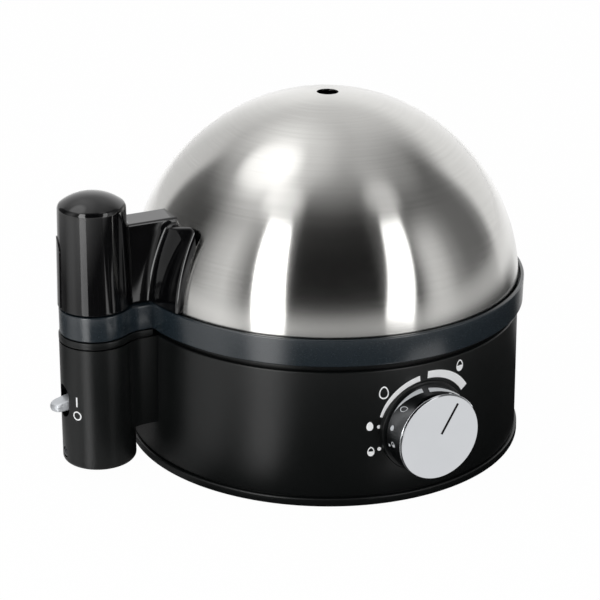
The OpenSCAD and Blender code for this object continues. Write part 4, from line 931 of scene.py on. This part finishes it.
parts = addNode(tree, "ShaderNodeSeparateXYZ", {0: outlook}).outputs
lit, upper = [azimuthTones(tree, parts, room[belt]) for belt in ("low", "high")]
climb = addNode(tree, "ShaderNodeMath", {0: parts["Z"]}, operation="ARCSINE")
for (fromDeg, toDeg), tone in ((room["beltDeg"], upper), (room["fadeDeg"], grey(room["overhead"]))):
    rise = addNode(tree, "ShaderNodeMapRange", {
        "Value": climb, "From Min": math.radians(fromDeg), "From Max": math.radians(toDeg)},
        interpolation_type="SMOOTHSTEP")
    lit = addNode(tree, "ShaderNodeMix", {0: rise, 6: lit, 7: tone}, data_type="RGBA")
for glow in room["glows"]:
    turn, tilt = math.radians(glow["azimuth"]), math.radians(glow["upDeg"])
    towards = (math.sin(turn) * math.cos(tilt), -math.cos(turn) * math.cos(tilt), math.sin(tilt))
    facing = addNode(tree, "ShaderNodeVectorMath", {0: outlook, 1: towards}, operation="DOT_PRODUCT")
    spread = addNode(tree, "ShaderNodeMapRange", {
        "Value": facing, "From Min": math.cos(math.radians(glow["fromDeg"])),
        "From Max": math.cos(math.radians(glow["fullDeg"])), "To Max": glow["strength"]},
        interpolation_type="SMOOTHSTEP")
    lit = addNode(tree, "ShaderNodeMix", {0: 1.0, 6: lit, 7: spread}, data_type="RGBA", blend_type="ADD")
fill = addNode(tree, "ShaderNodeBackground", {"Color": linear("#ffffff"), "Strength": room["fill"]})
seen = addNode(tree, "ShaderNodeBackground", {"Color": linear("#ffffff"), "Strength": 1.0})
mirrored = addNode(tree, "ShaderNodeBackground", {"Color": lit, "Strength": 1.0})
unseen = addNode(tree, "ShaderNodeMixShader", {0: glossy, 1: fill, 2: mirrored})
mixed = addNode(tree, "ShaderNodeMixShader", {0: fromCamera, 1: unseen, 2: seen})
addNode(tree, "ShaderNodeOutputWorld", {"Surface": mixed})

# floor: white to the camera with a faint shadow; in reflections dark round the object and pale further out
table = dict(
    seen=0.985, far=1.0, farFrom=0.36, farTo=0.55, half=6,
    tones=[(-180, 0.9), (-150, 0.5), (-135, 0.1), (-112, 0.1), (-100, 0.5), (-74, 0.5), (-64, 0.03),
           (92, 0.03), (110, 0.9), (180, 0.9)],
    sheenFar=0.45, sheenFrom=0.1, sheenTo=0.14, sheenRough=0.1,
    sheenTones=[(-180, 0.3), (-60, 0.45), (-49, 0.45), (-43, 0.08), (-18, 0.1), (-12, 0.6), (-7, 0.6),
                (-5, 0.0), (92, 0.0), (110, 0.3), (180, 0.3)])
paper, tree, ground = newSurface("paperFloorPale")
fromCamera, glossy = rayKinds(tree)
parts = addNode(tree, "ShaderNodeSeparateXYZ", {0: ground}).outputs
span = addNode(tree, "ShaderNodeVectorMath", {0: ground}, operation="LENGTH")
far = addNode(tree, "ShaderNodeMapRange", {
    "Value": span, "From Min": table["farFrom"], "From Max": table["farTo"]})
clear = addNode(tree, "ShaderNodeMapRange", {
    "Value": span, "From Min": table["sheenFrom"], "From Max": table["sheenTo"]},
    interpolation_type="SMOOTHSTEP")
tone, polish = [addNode(tree, "ShaderNodeMix", {
    0: far, 6: azimuthTones(tree, parts, table[near]), 7: grey(table[away])}, data_type="RGBA")
    for near, away in (("tones", "far"), ("sheenTones", "sheenFar"))]
shine = addNode(tree, "ShaderNodeMix", {0: clear, 6: grey(0), 7: polish}, data_type="RGBA")
sheen = addNode(tree, "ShaderNodeBsdfGlossy", {"Color": shine, "Roughness": table["sheenRough"]})
haze = addNode(tree, "ShaderNodeBsdfDiffuse", {"Color": tone})
reflected = addNode(tree, "ShaderNodeAddShader", {0: sheen, 1: haze})
matt = addNode(tree, "ShaderNodeBsdfDiffuse", {"Color": linear("#f4f4f4")})
white = addNode(tree, "ShaderNodeEmission", {"Color": linear("#ffffff"), "Strength": 1.0})
seen = addNode(tree, "ShaderNodeMath", {0: fromCamera, 1: table["seen"]}, operation="MULTIPLY")
plain = addNode(tree, "ShaderNodeMixShader", {0: seen, 1: matt, 2: white})
mixed = addNode(tree, "ShaderNodeMixShader", {0: glossy, 1: plain, 2: reflected})
addNode(tree, "ShaderNodeOutputMaterial", {"Surface": mixed})


def flatCard(name, corners, z, mat):  # one face on the floor, in metres
    mesh = bpy.data.meshes.new(name)
    mesh.from_pydata([(x, y, z) for x, y in corners], [], [(0, 1, 2, 3)])
    mesh.materials.append(mat)
    return newObject(name, mesh)


half = table["half"]
flatCard("floor", [(-half, -half), (half, -half), (half, half), (-half, half)], 0, paper)

# pale cards on the floor, seen only in reflections: one for the knob's face, a slim one for the arm
cards = dict(knobCard=dict(tone=1.0, up=0.5, corners=[(-16, -117), (62, -117), (130, -242), (53, -242)]),
             armCard=dict(tone=0.5, up=0.5, corners=[(1.6, -226), (6.7, -226), (36, -295), (31, -295)]))
for name, card in cards.items():
    pale = bpy.data.materials.new(name + "White")
    tree = bareTree(pale)
    glow = addNode(tree, "ShaderNodeEmission", {"Color": grey(card["tone"]), "Strength": 1.0})
    addNode(tree, "ShaderNodeOutputMaterial", {"Surface": glow})
    sheet = flatCard(name, [(x * mm, y * mm) for x, y in card["corners"]], card["up"] * mm, pale)
    sheet.visible_camera = sheet.visible_diffuse = sheet.visible_shadow = False
print("studio")
